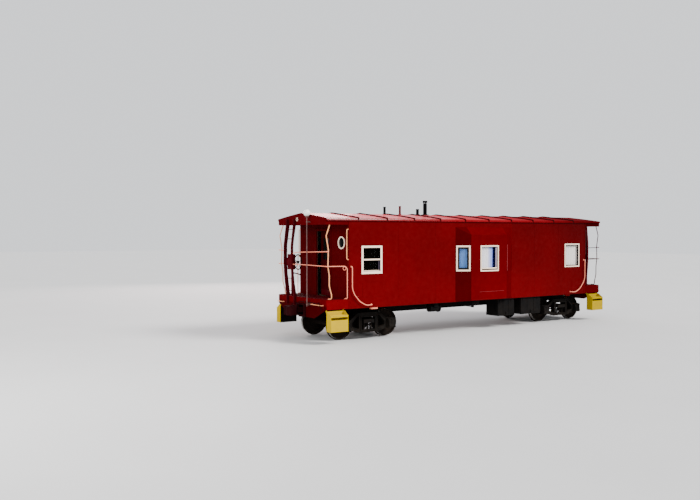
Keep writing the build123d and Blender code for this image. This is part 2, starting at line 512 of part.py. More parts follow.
bolster = prism_x([(-1120, H(470)), (-560, H(440)), (560, H(440)), (1120, H(470)), (1120, H(BOLSTER_TOP - 15)),
                   (560, H(BOLSTER_TOP)), (-560, H(BOLSTER_TOP)), (-1120, H(BOLSTER_TOP - 15))], -190, 190)
bolster += cyl((0, 0, H(BOLSTER_TOP)), (0, 0, H(CENTRE_Z0 - 34)), 180)
SPRING_R = 52.0
springs = []
for s in (-1, 1):
    for x in (-125, 0, 125):
        springs.append(cyl((x, s * 1002.5, H(270)), (x, s * 1002.5, H(467)), SPRING_R))
# the bolster's underside is cut flat over each spring nest
for s in (-1, 1):
    y0, y1 = sorted((s * 930, s * 1120))
    bolster -= box(-200, 200, y0, y1, H(400), H(467))

# wheelset: half section in (radius, y), turned about the axle
b2b = BACK_TO_BACK / 2
rt = WHEEL_D / 2
wheel_pts = [(0, 0), (82, 0), (82, 560), (100, b2b - 40), (150, b2b - 30), (150, b2b + 8), (rt - 70, b2b + 55), (rt - 55, b2b),
             (rt + 12, b2b), (rt + FLANGE, b2b + 10), (rt + FLANGE, b2b + 16), (rt + 5, b2b + FLANGE_T), (rt, b2b + FLANGE_T + 12),
             (rt - 4, b2b + RIM_W), (rt - 45, b2b + RIM_W), (rt - 62, b2b + 82), (150, b2b + 45), (150, b2b + RIM_W + 10),
             (95, b2b + RIM_W + 20), (JOURNAL_R, b2b + RIM_W + 30), (JOURNAL_R, 1080), (0, 1080)]
face = make_face(Polyline(*[(r, y, 0) for r, y in wheel_pts], close=True))
half_set = revolve(face, Axis.Y, 360)
axle = half_set + mirror(half_set, about=Plane.XZ)

TRUCKS = [("a", -TRUCK_X), ("b", TRUCK_X)]
number = 0
for name, tx in TRUCKS:
    at = Location((tx, 0, 0))
    save(f"truck_{name}_side_frames", *[f.moved(at) for f in frames2])
    save(f"truck_{name}_bolster", bolster.moved(at))
    save(f"truck_{name}_springs", *[s.moved(at) for s in springs])
    for s in (-1, 1):
        number += 1
        save(f"wheelset_{number}", axle.moved(Location((tx + s * half, 0, H(AXLE_Z)))))

# ---------------------------------------------------------------- couplers (A end)
HEAD_X = -6200.0
head_plan = [(25, -62), (25, 62), (-80, 150), (-250, 185), (-340, 150), (-330, 110), (-250, 60), (-205, 20), (-205, -45),
             (-250, -30), (-310, 5), (-355, -5), (-372, -60), (-355, -130), (-290, -172), (-200, -170), (-70, -150)]
coupler = box(HEAD_X, -COUPLER_PIVOT, -62, 62, H(COUPLER_Z - 75), H(COUPLER_Z + 75))
coupler += prism_z([(HEAD_X + x, y) for x, y in head_plan], H(COUPLER_Z - 135), H(COUPLER_Z + 135))
coupler += cyl((-COUPLER_PIVOT, 0, H(COUPLER_Z - 75)), (-COUPLER_PIVOT, 0, H(COUPLER_Z + 75)), 62)
save("coupler_a", coupler)
save("coupler_b", b_end(coupler))
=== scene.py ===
import bpy
import bmesh
import math
from mathutils import Matrix, Vector


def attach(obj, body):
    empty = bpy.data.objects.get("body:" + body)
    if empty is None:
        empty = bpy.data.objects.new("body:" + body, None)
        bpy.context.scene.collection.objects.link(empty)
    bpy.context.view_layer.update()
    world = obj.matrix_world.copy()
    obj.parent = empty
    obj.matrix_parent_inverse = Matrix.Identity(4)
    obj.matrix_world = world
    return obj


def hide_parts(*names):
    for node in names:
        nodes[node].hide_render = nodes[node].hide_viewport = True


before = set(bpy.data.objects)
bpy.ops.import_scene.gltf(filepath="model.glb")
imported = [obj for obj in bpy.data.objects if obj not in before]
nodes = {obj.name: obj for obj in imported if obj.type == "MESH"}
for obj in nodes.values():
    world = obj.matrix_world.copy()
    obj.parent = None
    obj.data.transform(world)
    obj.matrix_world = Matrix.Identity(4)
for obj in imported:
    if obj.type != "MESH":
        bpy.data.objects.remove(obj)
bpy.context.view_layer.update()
scene = bpy.context.scene

RAIL = 0.025


def H(v):
    return v + RAIL


# ------------------------------------------------------------------ camera, floor and light
cam_data = bpy.data.cameras.new("camera")
cam_data.sensor_width = 36.0
cam_data.lens = 38.66
cam = bpy.data.objects.new("camera", cam_data)
cam.location = (-17.371, -19.696, 3.197)
cam.rotation_euler = (math.radians(90 - 1.254), 0.0, math.radians(-33.67))
scene.collection.objects.link(cam)
scene.camera = cam

world = bpy.data.worlds.new("studio")
scene.world = world
world.use_nodes = True
wt = world.node_tree
wt.nodes["Background"].inputs["Color"].default_value = (0.90, 0.92, 0.95, 1)
wt.nodes["Background"].inputs["Strength"].default_value = 1.30

sun_data = bpy.data.lights.new("sun", "SUN")
sun_data.energy = 5.8
sun_data.angle = math.radians(20)
sun_data.color = (1.0, 0.975, 0.94)
sun = bpy.data.objects.new("sun", sun_data)
sun.rotation_euler = Vector((-0.50, 0.60, -0.60)).to_track_quat("-Z", "Y").to_euler()
scene.collection.objects.link(sun)


def area(name, loc, target, size, power, colour=(1, 1, 1)):
    data = bpy.data.lights.new(name, "AREA")
    data.shape = "RECTANGLE"
    data.size, data.size_y = size
    data.energy = power
    data.color = colour
    o = bpy.data.objects.new(name, data)
    o.location = loc
    o.rotation_euler = (Vector(target) - Vector(loc)).to_track_quat("-Z", "Y").to_euler()
    scene.collection.objects.link(o)
    return o


area("fill", (-20, -5, 7), (-5.5, -0.5, 1.5), (7, 5), 1500, (1.0, 0.99, 0.96))
# a low panel behind the A end, which the roof mirrors
area("roof_panel", (4, 24, 8.5), (-4, 0, 3.7), (14, 6), 2700, (1.0, 0.80, 0.77))


# ------------------------------------------------------------------ materials
class Mat:
    """A material built from nodes, in object coordinates, metres."""

    def __init__(self, name):
        self.mat = bpy.data.materials.new(name)
        self.mat.use_nodes = True
        self.t = self.mat.node_tree
        self.t.nodes.clear()
        out = self.t.nodes.new("ShaderNodeOutputMaterial")
        self.b = self.t.nodes.new("ShaderNodeBsdfPrincipled")
        self.t.links.new(self.b.outputs[0], out.inputs[0])
        self.co = self.t.nodes.new("ShaderNodeTexCoord").outputs["Object"]
        self._xyz = None

    def link(self, a, b):
        self.t.links.new(a, b)

    def xyz(self, axis):
        if self._xyz is None:
            self._xyz = self.t.nodes.new("ShaderNodeSeparateXYZ")
            self.link(self.co, self._xyz.inputs[0])
        return self._xyz.outputs[axis]

    def scaled(self, scale, offset=(0, 0, 0)):
        n = self.t.nodes.new("ShaderNodeMapping")
        n.inputs["Scale"].default_value = scale
        n.inputs["Location"].default_value = offset
        self.link(self.co, n.inputs[0])
        return n.outputs[0]

    def noise(self, scale, detail=3.0, rough=0.55, co=None, distort=0.0):
        n = self.t.nodes.new("ShaderNodeTexNoise")
        n.inputs["Scale"].default_value = scale
        n.inputs["Detail"].default_value = detail
        n.inputs["Roughness"].default_value = rough
        n.inputs["Distortion"].default_value = distort
        self.link(co if co is not None else self.co, n.inputs["Vector"])
        return n.outputs["Fac"]

    def voronoi(self, scale, co=None, feature="F1"):
        n = self.t.nodes.new("ShaderNodeTexVoronoi")
        n.feature = feature
        n.inputs["Scale"].default_value = scale
        self.link(co if co is not None else self.co, n.inputs["Vector"])
        return n.outputs["Distance"]

    def fit(self, value, a0, a1, b0, b1, smooth=False):
        n = self.t.nodes.new("ShaderNodeMapRange")
        if smooth:
            n.interpolation_type = "SMOOTHSTEP"
        for i, v in zip(("From Min", "From Max", "To Min", "To Max"), (a0, a1, b0, b1)):
            n.inputs[i].default_value = v
        self.link(value, n.inputs["Value"])
        return n.outputs["Result"]

    def calc(self, op, a, b=None, clamp=False):
        n = self.t.nodes.new("ShaderNodeMath")
        n.operation = op
        n.use_clamp = clamp
        for i, v in ((0, a), (1, b)):
            if v is None:
                continue
            if isinstance(v, (int, float)):
                n.inputs[i].default_value = v
            else:
                self.link(v, n.inputs[i])
        return n.outputs[0]

    def mix(self, fac, a, b, mode="MIX"):
        n = self.t.nodes.new("ShaderNodeMix")
        n.data_type = "RGBA"
        n.blend_type = mode
        for i, v in ((0, fac), (6, a), (7, b)):
            if isinstance(v, (int, float)):
                n.inputs[i].default_value = v
            elif isinstance(v, tuple):
                n.inputs[i].default_value = (*v, 1.0)[:4]
            else:
                self.link(v, n.inputs[i])
        return n.outputs[2]

    def bump(self, height, strength=0.3, distance=0.002, under=None):
        n = self.t.nodes.new("ShaderNodeBump")
        n.inputs["Strength"].default_value = strength
        n.inputs["Distance"].default_value = distance
        self.link(height, n.inputs["Height"])
        if under is not None:
            self.link(under, n.inputs["Normal"])
        return n.outputs[0]

    def put(self, **kw):
        names = {"base": "Base Color", "rough": "Roughness", "metal": "Metallic", "normal": "Normal",
                 "coat": "Coat Weight", "coat_rough": "Coat Roughness", "spec": "Specular IOR Level",
                 "trans": "Transmission Weight", "ior": "IOR", "sheen": "Sheen Weight",
                 "sheen_tint": "Sheen Tint", "sheen_rough": "Sheen Roughness", "alpha": "Alpha",
                 "emit": "Emission Color", "emit_s": "Emission Strength", "sss": "Subsurface Weight"}
        for k, v in kw.items():
            i = self.b.inputs[names[k]]
            if isinstance(v, (int, float)):
                i.default_value = v
            elif isinstance(v, tuple):
                i.default_value = (*v, 1.0)[:4]
            else:
                self.link(v, i)
        return self.mat


def paint(name, base, deep, rough=0.28, streak=0.5, dust=0.0, dust_colour=(0.24, 0.17, 0.11), dust_top=1.7,
          coat=0.25, sheet=0.0, chips=0.0, inside=None, peel=0.25, spec=0.5, shade=(), sheen_reflection=None, shade_fall=None, coat_rough=0.12):
    """Brushed and weathered enamel: slow colour drift, rain streaks, dust from below, orange peel.

    coat and spec may be (x0, x1, value at x0, value at x1), which fades them along the car.
    shade holds (x0, x1, factor): painted shade between two places along the car, where a factor over 1 paints light
    instead, and with two heights more, it fades out from the first height to the second; shade_fall is painted shade
    that deepens slowly along the car.
    sheen_reflection is like coat: a tinted sheen faded along the car, a painted reflection that makes the paint look
    pale at a low angle.
    """
    m = Mat(name)
    if isinstance(coat, tuple):
        coat = m.fit(m.xyz(0), *coat, True)
    if isinstance(spec, tuple):
        spec = m.fit(m.xyz(0), *spec, True)
    drift = m.fit(m.noise(0.55, 4, 0.6, distort=0.4), 0.32, 0.68, 0, 1, True)
    colour = m.mix(drift, deep, base)
    mottle = m.noise(7.0, 5, 0.65)
    colour = m.mix(m.fit(mottle, 0.35, 0.75, 0.0, 0.22), colour, tuple(min(1, c * 1.35 + 0.01) for c in base))
    run = m.noise(1.0, 6, 0.7, m.scaled((6.5, 6.5, 0.32)))
    colour = m.mix(m.fit(run, 0.52, 0.78, 0.0, streak), colour, tuple(c * 0.55 for c in deep))
    fade = m.noise(1.0, 4, 0.6, m.scaled((2.2, 2.2, 0.5), (3, 1, 7)))
    rough_v = m.fit(fade, 0.3, 0.7, rough * 0.75, rough * 1.35)
    if dust > 0:
        low = m.fit(m.xyz(2), 0.35, dust_top, 1.0, 0.0, True)
        grit = m.fit(m.noise(3.2, 7, 0.7), 0.36, 0.72, 0.0, 1.0)
        amount = m.calc("MULTIPLY", m.calc("MULTIPLY", low, grit), dust)
        colour = m.mix(amount, colour, dust_colour)
        rough_v = m.calc("ADD", rough_v, m.calc("MULTIPLY", amount, 0.45), clamp=True)
    if chips > 0:
        chip = m.fit(m.noise(24.0, 8, 0.75), 0.66, 0.70, 0.0, chips)
        colour = m.mix(chip, colour, (0.07, 0.035, 0.02))
        rough_v = m.calc("ADD", rough_v, m.calc("MULTIPLY", chip, 0.5), clamp=True)
    if inside is not None:
        # the faces that look into the cabin have their own paint
        ax = m.calc("LESS_THAN", m.calc("ABSOLUTE", m.xyz(0)), 5.19)
        ay = m.calc("LESS_THAN", m.calc("ABSOLUTE", m.xyz(1)), 1.372)
        within = m.calc("MULTIPLY", ax, ay)
        colour = m.mix(within, colour, inside)
    # painted shade and light: a band with a factor under 1 darkens the paint where shade falls, a factor over 1
    # lightens it
    for x0, x1, factor, *heights in shade:
        band = m.calc("MULTIPLY", m.calc("GREATER_THAN", m.xyz(0), x0), m.calc("LESS_THAN", m.xyz(0), x1))
        if heights:
            band = m.calc("MULTIPLY", band, m.fit(m.xyz(2), heights[0], heights[1], 1.0, 0.0, True))
        colour = m.mix(band, colour, m.mix(1.0, colour, (factor, factor, factor), "MULTIPLY"))
    # painted shade that deepens slowly along the car
    if shade_fall is not None:
        k = m.fit(m.xyz(0), *shade_fall, True)
        grey = m.t.nodes.new("ShaderNodeCombineColor")
        for i in range(3):
            m.link(k, grey.inputs[i])
        colour = m.mix(1.0, colour, grey.outputs[0], "MULTIPLY")
    # painted reflection: a pink sheen, strong at one end of the car and faint at the other
    if sheen_reflection is not None:
        m.put(sheen=m.fit(m.xyz(0), *sheen_reflection, True), sheen_tint=(1.0, 0.19, 0.22), sheen_rough=0.35)
    n = m.bump(m.noise(140.0, 2, 0.5), peel, 0.0006)
    if sheet > 0:
        n = m.bump(m.noise(1.0, 2, 0.45, m.scaled((1.35, 1.0, 1.1))), sheet, 0.02, n)
    if chips > 0:
        n = m.bump(m.noise(24.0, 8, 0.75), 0.25, 0.0015, n)
    return m.put(base=colour, rough=rough_v, coat=coat, coat_rough=coat_rough, spec=spec, normal=n)


def iron(name, base, rust, rough=0.6, amount=0.5, metal=0.0, dust=0.4, grain=0.5, scale=9.0, spec=0.5):
    """Cast or rolled iron with grime, rust and road dust."""
    m = Mat(name)
    patch = m.noise(scale, 8, 0.7, distort=0.6)
    colour = m.mix(m.fit(patch, 0.42, 0.66, 0, amount), base, rust)
    fine = m.noise(55.0, 5, 0.7)
    colour = m.mix(m.fit(fine, 0.4, 0.8, 0, 0.35), colour, tuple(c * 0.4 for c in base))
    low = m.fit(m.xyz(2), 0.1, 1.25, 1.0, 0.15, True)
    grit = m.fit(m.noise(4.0, 6, 0.7), 0.35, 0.75, 0.0, 1.0)
    colour = m.mix(m.calc("MULTIPLY", m.calc("MULTIPLY", low, grit), dust), colour, (0.17, 0.125, 0.085))
    n = m.bump(fine, grain, 0.0022)
    n = m.bump(patch, grain * 0.7, 0.004, n)
    rough_v = m.fit(patch, 0.3, 0.75, rough * 0.8, min(1.0, rough * 1.3))
    return m.put(base=colour, rough=rough_v, metal=metal, spec=spec, normal=n)


RED, RED_DEEP = (0.090, 0.0001, 0.0016), (0.074, 0.0001, 0.0013)
# painted shade: the red is made darker towards the B end
SHADE_TOWARDS_B = (1.0, 5.6, 1.0, 0.74)
# side walls: painted shade darkens the upper wall of the B half under the eaves, and painted light brightens the
# lower wall
body_red = paint("body_red", RED, RED_DEEP, rough=0.34, streak=0.06, dust=0.08, dust_top=1.40, dust_colour=(0.07, 0.022, 0.012),
                 coat=0.0, sheet=0.10, inside=(0.10, 0.11, 0.085), spec=0.010, shade_fall=SHADE_TOWARDS_B, shade=((1.45, 5.3, 0.80, 3.65, 2.60), (-5.3, 5.3, 1.15, 1.30, 2.50)))
# bay: painted shade darkens the left slanted face, the right slanted face is a little darker, and painted light
# brightens the lower bay front
bay_red = paint("bay_red", RED, RED_DEEP, rough=0.34, streak=0.06, dust=0.08, dust_top=1.40, dust_colour=(0.07, 0.022, 0.012),
                coat=0.0, sheet=0.10, inside=(0.10, 0.11, 0.085), spec=0.0, shade=((-1.2, -0.6415, 0.66), (0.955, 1.5, 0.80), (-0.64, 0.955, 1.10, 1.20, 2.20)))
# end walls and door frames: a darker copy of the body red, painted shade under the roof overhang
end_shade_red = paint("end_shade_red", (0.070, 0.0001, 0.0013), (0.053, 0.0001, 0.0011), rough=0.4, streak=0.08, dust=0.06, dust_top=1.6,
                dust_colour=(0.045, 0.015, 0.009), coat=0.0, sheet=0.06, inside=(0.10, 0.11, 0.085), spec=0.002)
# doors: a still darker copy of the red, painted shade in the doorways
door_shade_red = paint("door_shade_red", (0.040, 0.0002, 0.0012), (0.028, 0.0001, 0.0010), rough=0.4, streak=0.08, dust=0.08,
                 dust_colour=(0.035, 0.012, 0.007), coat=0.0, chips=0.1, spec=0.002)
# trim: the trim beyond the B end wall is darker, painted shade
trim_red = paint("trim_red", (0.078, 0.0002, 0.0019), (0.059, 0.0001, 0.0014), rough=0.36, streak=0.08, dust=0.08,
                 dust_colour=(0.05, 0.018, 0.010), coat=0.0, chips=0.08, spec=0.002, shade=((5.235, 6.2, 0.45),))
# platforms: painted shade on the A end sill face, deepest on its lower part, and on the B platform
skirt_red = paint("skirt_red", (0.128, 0.0003, 0.0024), (0.100, 0.0002, 0.0018), rough=0.36, streak=0.08, dust=0.08,
                  dust_colour=(0.06, 0.02, 0.012), coat=0.0, chips=0.08, spec=0.002,
                  shade=((-6.2, -5.998, 0.80), (-6.2, -5.998, 0.45, 1.05, 1.16), (5.0, 6.2, 0.5)))
maroon = paint("maroon", (0.060, 0.0006, 0.0030), (0.042, 0.0004, 0.0022), rough=0.38, streak=0.12, dust=0.06, coat=0.0, chips=0.12,
               dust_colour=(0.03, 0.015, 0.009), spec=0.006)
# roof: the sheen faded along the car is a painted reflection that makes the A end pale pink, helped by coat and
# specular that fade out towards the middle; shade_fall paints shade towards the B end
roof_red = paint("roof_red", (0.19, 0.004, 0.008), (0.15, 0.002, 0.005), rough=0.26, streak=0.10, coat=(-5.9, -3.0, 0.64, 0.0),
                 sheet=0.22, peel=0.2, spec=(-5.6, -1.0, 0.30, 0.0), sheen_reflection=(-5.4, 3.8, 1.0, 0.05), shade_fall=(0.5, 6.0, 1.0, 0.28), coat_rough=0.28)
rib_red = paint("rib_red", (0.030, 0.0006, 0.001), (0.020, 0.0004, 0.0008), rough=0.7, streak=0.1, coat=0.0, chips=0.1, spec=0.01)
white = paint("white_enamel", (1.0, 0.77, 0.60), (0.97, 0.72, 0.55), rough=0.40, streak=0.04, coat=0.0, chips=0.02, spec=0.15)
cream = paint("cream_enamel", (0.96, 0.29, 0.185), (0.90, 0.25, 0.15), rough=0.4, streak=0.10, coat=0.0, chips=0.10, spec=0.08)
# steps: the B end steps are darker, painted shade
yellow = paint("yellow_enamel", (0.48, 0.325, 0.0), (0.43, 0.285, 0.0), rough=0.42, streak=0.06, dust=0.08, dust_top=0.9,
               coat=0.0, chips=0.10, spec=0.004, shade=((5.0, 6.4, 0.72),))
black = iron("black_iron", (0.0020, 0.0020, 0.0024), (0.006, 0.0035, 0.0025), rough=0.7, amount=0.4, dust=0.05, spec=0.05)
truck_iron = iron("truck_iron", (0.0024, 0.0024, 0.0026), (0.008, 0.0045, 0.003), rough=0.78, amount=0.5, dust=0.07, grain=0.8, spec=0.05)
wheel_iron = iron("wheel_iron", (0.004, 0.003, 0.0025), (0.012, 0.006, 0.0035), rough=0.8, amount=0.7, dust=0.07, grain=0.9, spec=0.06)
coupler_iron = iron("coupler_iron", (0.017, 0.0012, 0.0024), (0.026, 0.003, 0.0035), rough=0.8, amount=0.6, dust=0.04, grain=1.0, spec=0.02)


def make_tread_steel():
    m = Mat("tread_steel")
    rings = m.noise(1.0, 5, 0.7, m.scaled((1.5, 260, 1.5)))
    spot = m.noise(10.0, 6, 0.7)
    colour = m.mix(m.fit(spot, 0.5, 0.75, 0, 0.6), (0.42, 0.40, 0.38), (0.17, 0.09, 0.05))
    return m.put(base=colour, rough=m.fit(rings, 0.3, 0.7, 0.22, 0.45), metal=0.9, normal=m.bump(rings, 0.2, 0.001))


tread_steel = make_tread_steel()


def make_glass(name, tint, rough=0.02):
    m = Mat(name)
    film = m.noise(5.0, 6, 0.7)
    m.mat.use_backface_culling = False
    # thin clear panes with a little grime: see-through, so the light reaches what hangs behind them
    return m.put(base=tint, rough=m.fit(film, 0.45, 0.75, rough, rough + 0.10), alpha=m.fit(film, 0.40, 0.80, 0.05, 0.08), spec=0.06,
                 coat=0.0, normal=m.bump(m.noise(1.6, 2, 0.4), 0.06, 0.004))


glass = make_glass("window_glass", (0.002, 0.003, 0.003))


def make_dark_glass():
    m = Mat("dark_glass")
    film = m.noise(7.0, 6, 0.7)
    return m.put(base=m.mix(m.fit(film, 0.4, 0.8, 0, 0.6), (0.003, 0.004, 0.004), (0.008, 0.009, 0.008)),
                 rough=m.fit(film, 0.4, 0.75, 0.06, 0.18), coat=0.0, spec=0.06,
                 normal=m.bump(m.noise(1.6, 2, 0.4), 0.08, 0.004))


dark_glass = make_dark_glass()


def make_cloth(name, a, b, axis_scale=(90, 90, 90), rough=0.85, spec=0.1, edge=None):
    m = Mat(name)
    weave = m.noise(1.0, 2, 0.5, m.scaled(axis_scale))
    slow = m.noise(1.3, 3, 0.5)
    colour = m.mix(m.fit(slow, 0.3, 0.7, 0, 1), a, b)
    colour = m.mix(m.fit(weave, 0.3, 0.7, 0, 0.12), colour, tuple(c * 0.7 for c in a))
    # an optional band of painted shadow towards one edge, from x0 to x1, in the given tone
    if edge is not None:
        x0, x1, tone = edge
        colour = m.mix(m.fit(m.xyz(0), x0, x1, 0.0, 1.0, True), colour, tone)
    return m.put(base=colour, rough=rough, normal=m.bump(weave, 0.2, 0.0008), spec=spec)


# bay front blind: painted shadow of the window's right jamb turns its right part blue
blind_pale = make_cloth("blind_pale", (0.88, 0.85, 0.90), (0.82, 0.80, 0.86), (140, 140, 26), edge=(0.08, 0.31, (0.26, 0.34, 0.80)))
blind_green = make_cloth("blind_green", (0.84, 0.82, 0.72), (0.80, 0.74, 0.72), (140, 140, 26))
# blind in the bay's slanted windows: a white blind painted blue, as painted shade lit by the sky
blind_sky_shade = make_cloth("blind_sky_shade", (0.16, 0.32, 0.72), (0.12, 0.26, 0.62), (140, 140, 26))
# near-black sheet behind the hung windows: painted shade of the dark cabin seen through the glass
interior_shade_sheet = make_cloth("interior_shade_sheet", (0.0016, 0.0013, 0.0009), (0.0024, 0.0019, 0.0012), (140, 140, 26), spec=0.0)
sash_shade = paint("sash_shade", (0.040, 0.030, 0.046), (0.030, 0.023, 0.036), rough=0.45, streak=0.1, coat=0.0, chips=0.05, spec=0.05)
# pale red: painted highlight along thin edges and strips
highlight_red = paint("highlight_red", (0.20, 0.020, 0.024), (0.14, 0.010, 0.013), rough=0.4, streak=0.2, coat=0.0, chips=0.1, spec=0.05)
# navy sheet behind the bay front pane: painted shade of the dark cabin seen through the glass
navy_shade_sheet = make_cloth("navy_shade_sheet", (0.002, 0.002, 0.085), (0.002, 0.002, 0.060), (140, 140, 26), spec=0.0)
# grey-violet right stile of the sliding sash: white paint in painted shade
sash_shaded_grey = paint("sash_shaded_grey", (0.26, 0.22, 0.28), (0.21, 0.18, 0.23), rough=0.4, streak=0.1, coat=0.0, chips=0.05, spec=0.2)

rubber = Mat("black_rubber")
rubber = rubber.put(base=rubber.mix(rubber.fit(rubber.noise(30, 5), 0.4, 0.7, 0, 1), (0.0022, 0.0022, 0.0028), (0.008, 0.0075, 0.007)),
                    rough=0.62, spec=0.10, normal=rubber.bump(rubber.noise(180, 3), 0.3, 0.0008))
opal = Mat("opal_globe")
opal = opal.put(base=opal.mix(opal.fit(opal.noise(6, 4), 0.35, 0.7, 0, 1), (0.86, 0.90, 0.84), (0.74, 0.79, 0.74)),
                rough=opal.fit(opal.noise(9, 4), 0.3, 0.7, 0.16, 0.3), coat=0.4, coat_rough=0.08,
                normal=opal.bump(opal.noise(3, 2), 0.05, 0.002))
galv = Mat("galvanised")
_g = galv.voronoi(38)
galv = galv.put(base=galv.mix(galv.fit(_g, 0.0, 0.8, 0, 1), (0.40, 0.41, 0.42), (0.25, 0.26, 0.27)), metal=0.7,
                rough=galv.fit(_g, 0, 0.7, 0.32, 0.55), normal=galv.bump(galv.noise(60, 4), 0.2, 0.001))


def make_post():
    m = Mat("post_paint")
    g = m.noise(14, 6, 0.7)
    return m.put(base=m.mix(m.fit(g, 0.42, 0.7, 0, 0.9), (0.115, 0.050, 0.044), (0.060, 0.022, 0.018)), rough=m.fit(g, 0.3, 0.7, 0.4, 0.7),
                 normal=m.bump(g, 0.3, 0.001))


post_paint = make_post()
deck_paint = paint("deck_paint", (0.062, 0.0008, 0.0028), (0.045, 0.0006, 0.002), rough=0.7, streak=0.1, dust=0.15, dust_top=2.2,
                   dust_colour=(0.045, 0.016, 0.012), coat=0.0, chips=0.15, spec=0.008)


def make_boards(name, a, b, width=0.14, along=0, rough=0.7):
    """Boards that run along one axis, with gaps, grain and wear."""
    m = Mat(name)
    across = m.xyz(1 - along)
    cell = m.calc("DIVIDE", across, width)
    part = m.calc("FRACT", m.calc("ADD", cell, 100.0))
    gap = m.calc("GREATER_THAN", m.calc("ABSOLUTE", m.calc("SUBTRACT", part, 0.5)), 0.465)
    grain_scale = (3.0, 60.0, 60.0) if along == 0 else (60.0, 3.0, 60.0)
    grain = m.noise(1.0, 8, 0.7, m.scaled(grain_scale))
    board = m.noise(1.0, 0, 0.5, m.scaled((0.0 if along == 0 else 1 / width, 1 / width if along == 0 else 0.0, 0)))
    colour = m.mix(m.fit(grain, 0.3, 0.72, 0, 1), a, b)
    colour = m.mix(m.fit(board, 0.3, 0.7, 0, 0.4), colour, tuple(c * 0.5 for c in a))
    colour = m.mix(gap, colour, (0.012, 0.010, 0.008))
    height = m.calc("SUBTRACT", grain, m.calc("MULTIPLY", gap, 3.0))
    return m.put(base=colour, rough=m.fit(grain, 0.3, 0.7, rough * 0.8, rough * 1.15), normal=m.bump(height, 0.45, 0.003))


boards = make_boards("floor_boards", (0.20, 0.125, 0.07), (0.115, 0.066, 0.036))
floor_mat = Mat("studio_floor")
floor_mat = floor_mat.put(base=floor_mat.mix(floor_mat.fit(floor_mat.noise(0.35, 3), 0.3, 0.7, 0, 1), (0.535, 0.535, 0.54), (0.555, 0.555, 0.56)),
                          rough=0.75, normal=floor_mat.bump(floor_mat.noise(25, 4), 0.08, 0.002))


def by_place(name, first, second, low, high, axis, spec=0.3):
    """Enamel that is one colour between low and high along an axis, and another elsewhere."""
    m = Mat(name)
    inside = m.calc("MULTIPLY", m.calc("GREATER_THAN", m.xyz(axis), low), m.calc("LESS_THAN", m.xyz(axis), high))
    g = m.noise(11, 6, 0.7)
    a = m.mix(m.fit(g, 0.4, 0.7, 0, 0.8), first, tuple(c * 0.55 for c in first))
    b = m.mix(m.fit(g, 0.4, 0.7, 0, 0.8), second, tuple(c * 0.55 for c in second))
    return m.put(base=m.mix(inside, a, b), rough=m.fit(g, 0.3, 0.7, 0.36, 0.62), spec=spec, normal=m.bump(g, 0.3, 0.0015))


vent_mat = by_place("vent_paint", (0.003, 0.003, 0.0035), (0.10, 0.002, 0.005), -2.55, -2.0, 0, 0.02)
stack_mat = by_place("stack_paint", (0.0025, 0.0025, 0.003), (0.010, 0.010, 0.011), H(4.203), 9.0, 2, 0.02)
# poles and end irons: cream at the A end, dark at the B end
pole_mat = by_place("pole_enamel", (0.94, 0.38, 0.17), (0.045, 0.006, 0.007), 0.0, 9.0, 0, 0.1)

# ------------------------------------------------------------------ floor
fm = bpy.data.meshes.new("floor")
fm.from_pydata([(-90, -90, 0), (90, -90, 0), (90, 120, 0), (-90, 120, 0)], [], [(0, 1, 2, 3)])
floor = bpy.data.objects.new("floor", fm)
scene.collection.objects.link(floor)
fm.materials.append(floor_mat)

# ------------------------------------------------------------------ finish of the CAD nodes
NODE_MATS = {
    "roof": roof_red, "roof_ribs": rib_red, "roof_fascias": trim_red,
    "side_wall_near": body_red, "side_wall_far": body_red, "end_wall_a": end_shade_red, "end_wall_b": end_shade_red,
    "bay_near": bay_red, "bay_far": bay_red, "cabin_floor": boards,
    "side_window_frames": white, "bay_window_frames": white, "porthole_rings": white,
    "side_window_glass": glass, "bay_window_glass": glass, "porthole_glass": dark_glass,
    "door_a": door_shade_red, "door_b": door_shade_red, "door_glass_a": dark_glass, "door_glass_b": dark_glass,
    "underframe": black, "end_platform_a": skirt_red, "end_platform_b": skirt_red,
    "steps_a": yellow, "steps_b": yellow,
    "ladder_a": maroon, "ladder_b": maroon, "corner_poles": pole_mat, "end_rails_a": cream, "end_rails_b": maroon,
    "side_grab_irons": cream, "end_grab_irons": pole_mat,
    "brake_housing_a": maroon, "brake_housing_b": maroon, "brake_wheel_a": black, "brake_wheel_b": black,
    "roof_vents": vent_mat, "smokestack": stack_mat, "lamp_post": post_paint, "lamp_globe": opal,
    "battery_box": black, "tool_box": black, "air_reservoir": black, "brake_cylinder": black,
    "coupler_a": coupler_iron, "coupler_b": coupler_iron,
}
for name, o in nodes.items():
    mat = NODE_MATS.get(name)
    if mat is None:
        mat = wheel_iron if name.startswith("wheelset") else truck_iron
    o.data.materials.clear()
    o.data.materials.append(mat)


# ------------------------------------------------------------------ mesh tools
def done(bm, name, mat, body="carbody", angle=35.0):
    me = bpy.data.meshes.new(name)
    bmesh.ops.remove_doubles(bm, verts=bm.verts, dist=1e-6)
    bmesh.ops.recalc_face_normals(bm, faces=bm.faces)
    bm.to_mesh(me)
    bm.free()
    me.shade_smooth()
    me.set_sharp_from_angle(angle=math.radians(angle))
    me.materials.append(mat)
    o = bpy.data.objects.new(name, me)
    scene.collection.objects.link(o)
    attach(o, body)
    return o


def block(bm, x0, x1, y0, y1, z0, z1, bevel=0.0, seg=2):
    size = Matrix.Diagonal((abs(x1 - x0), abs(y1 - y0), abs(z1 - z0), 1.0))
    at = Matrix.Translation(((x0 + x1) / 2, (y0 + y1) / 2, (z0 + z1) / 2))
    got = bmesh.ops.create_cube(bm, size=1.0, matrix=at @ size)
    if bevel > 0:
        edges = list({e for v in got["verts"] for e in v.link_edges})
        bmesh.ops.bevel(bm, geom=edges, offset=bevel, segments=seg, affect="EDGES", profile=0.5)


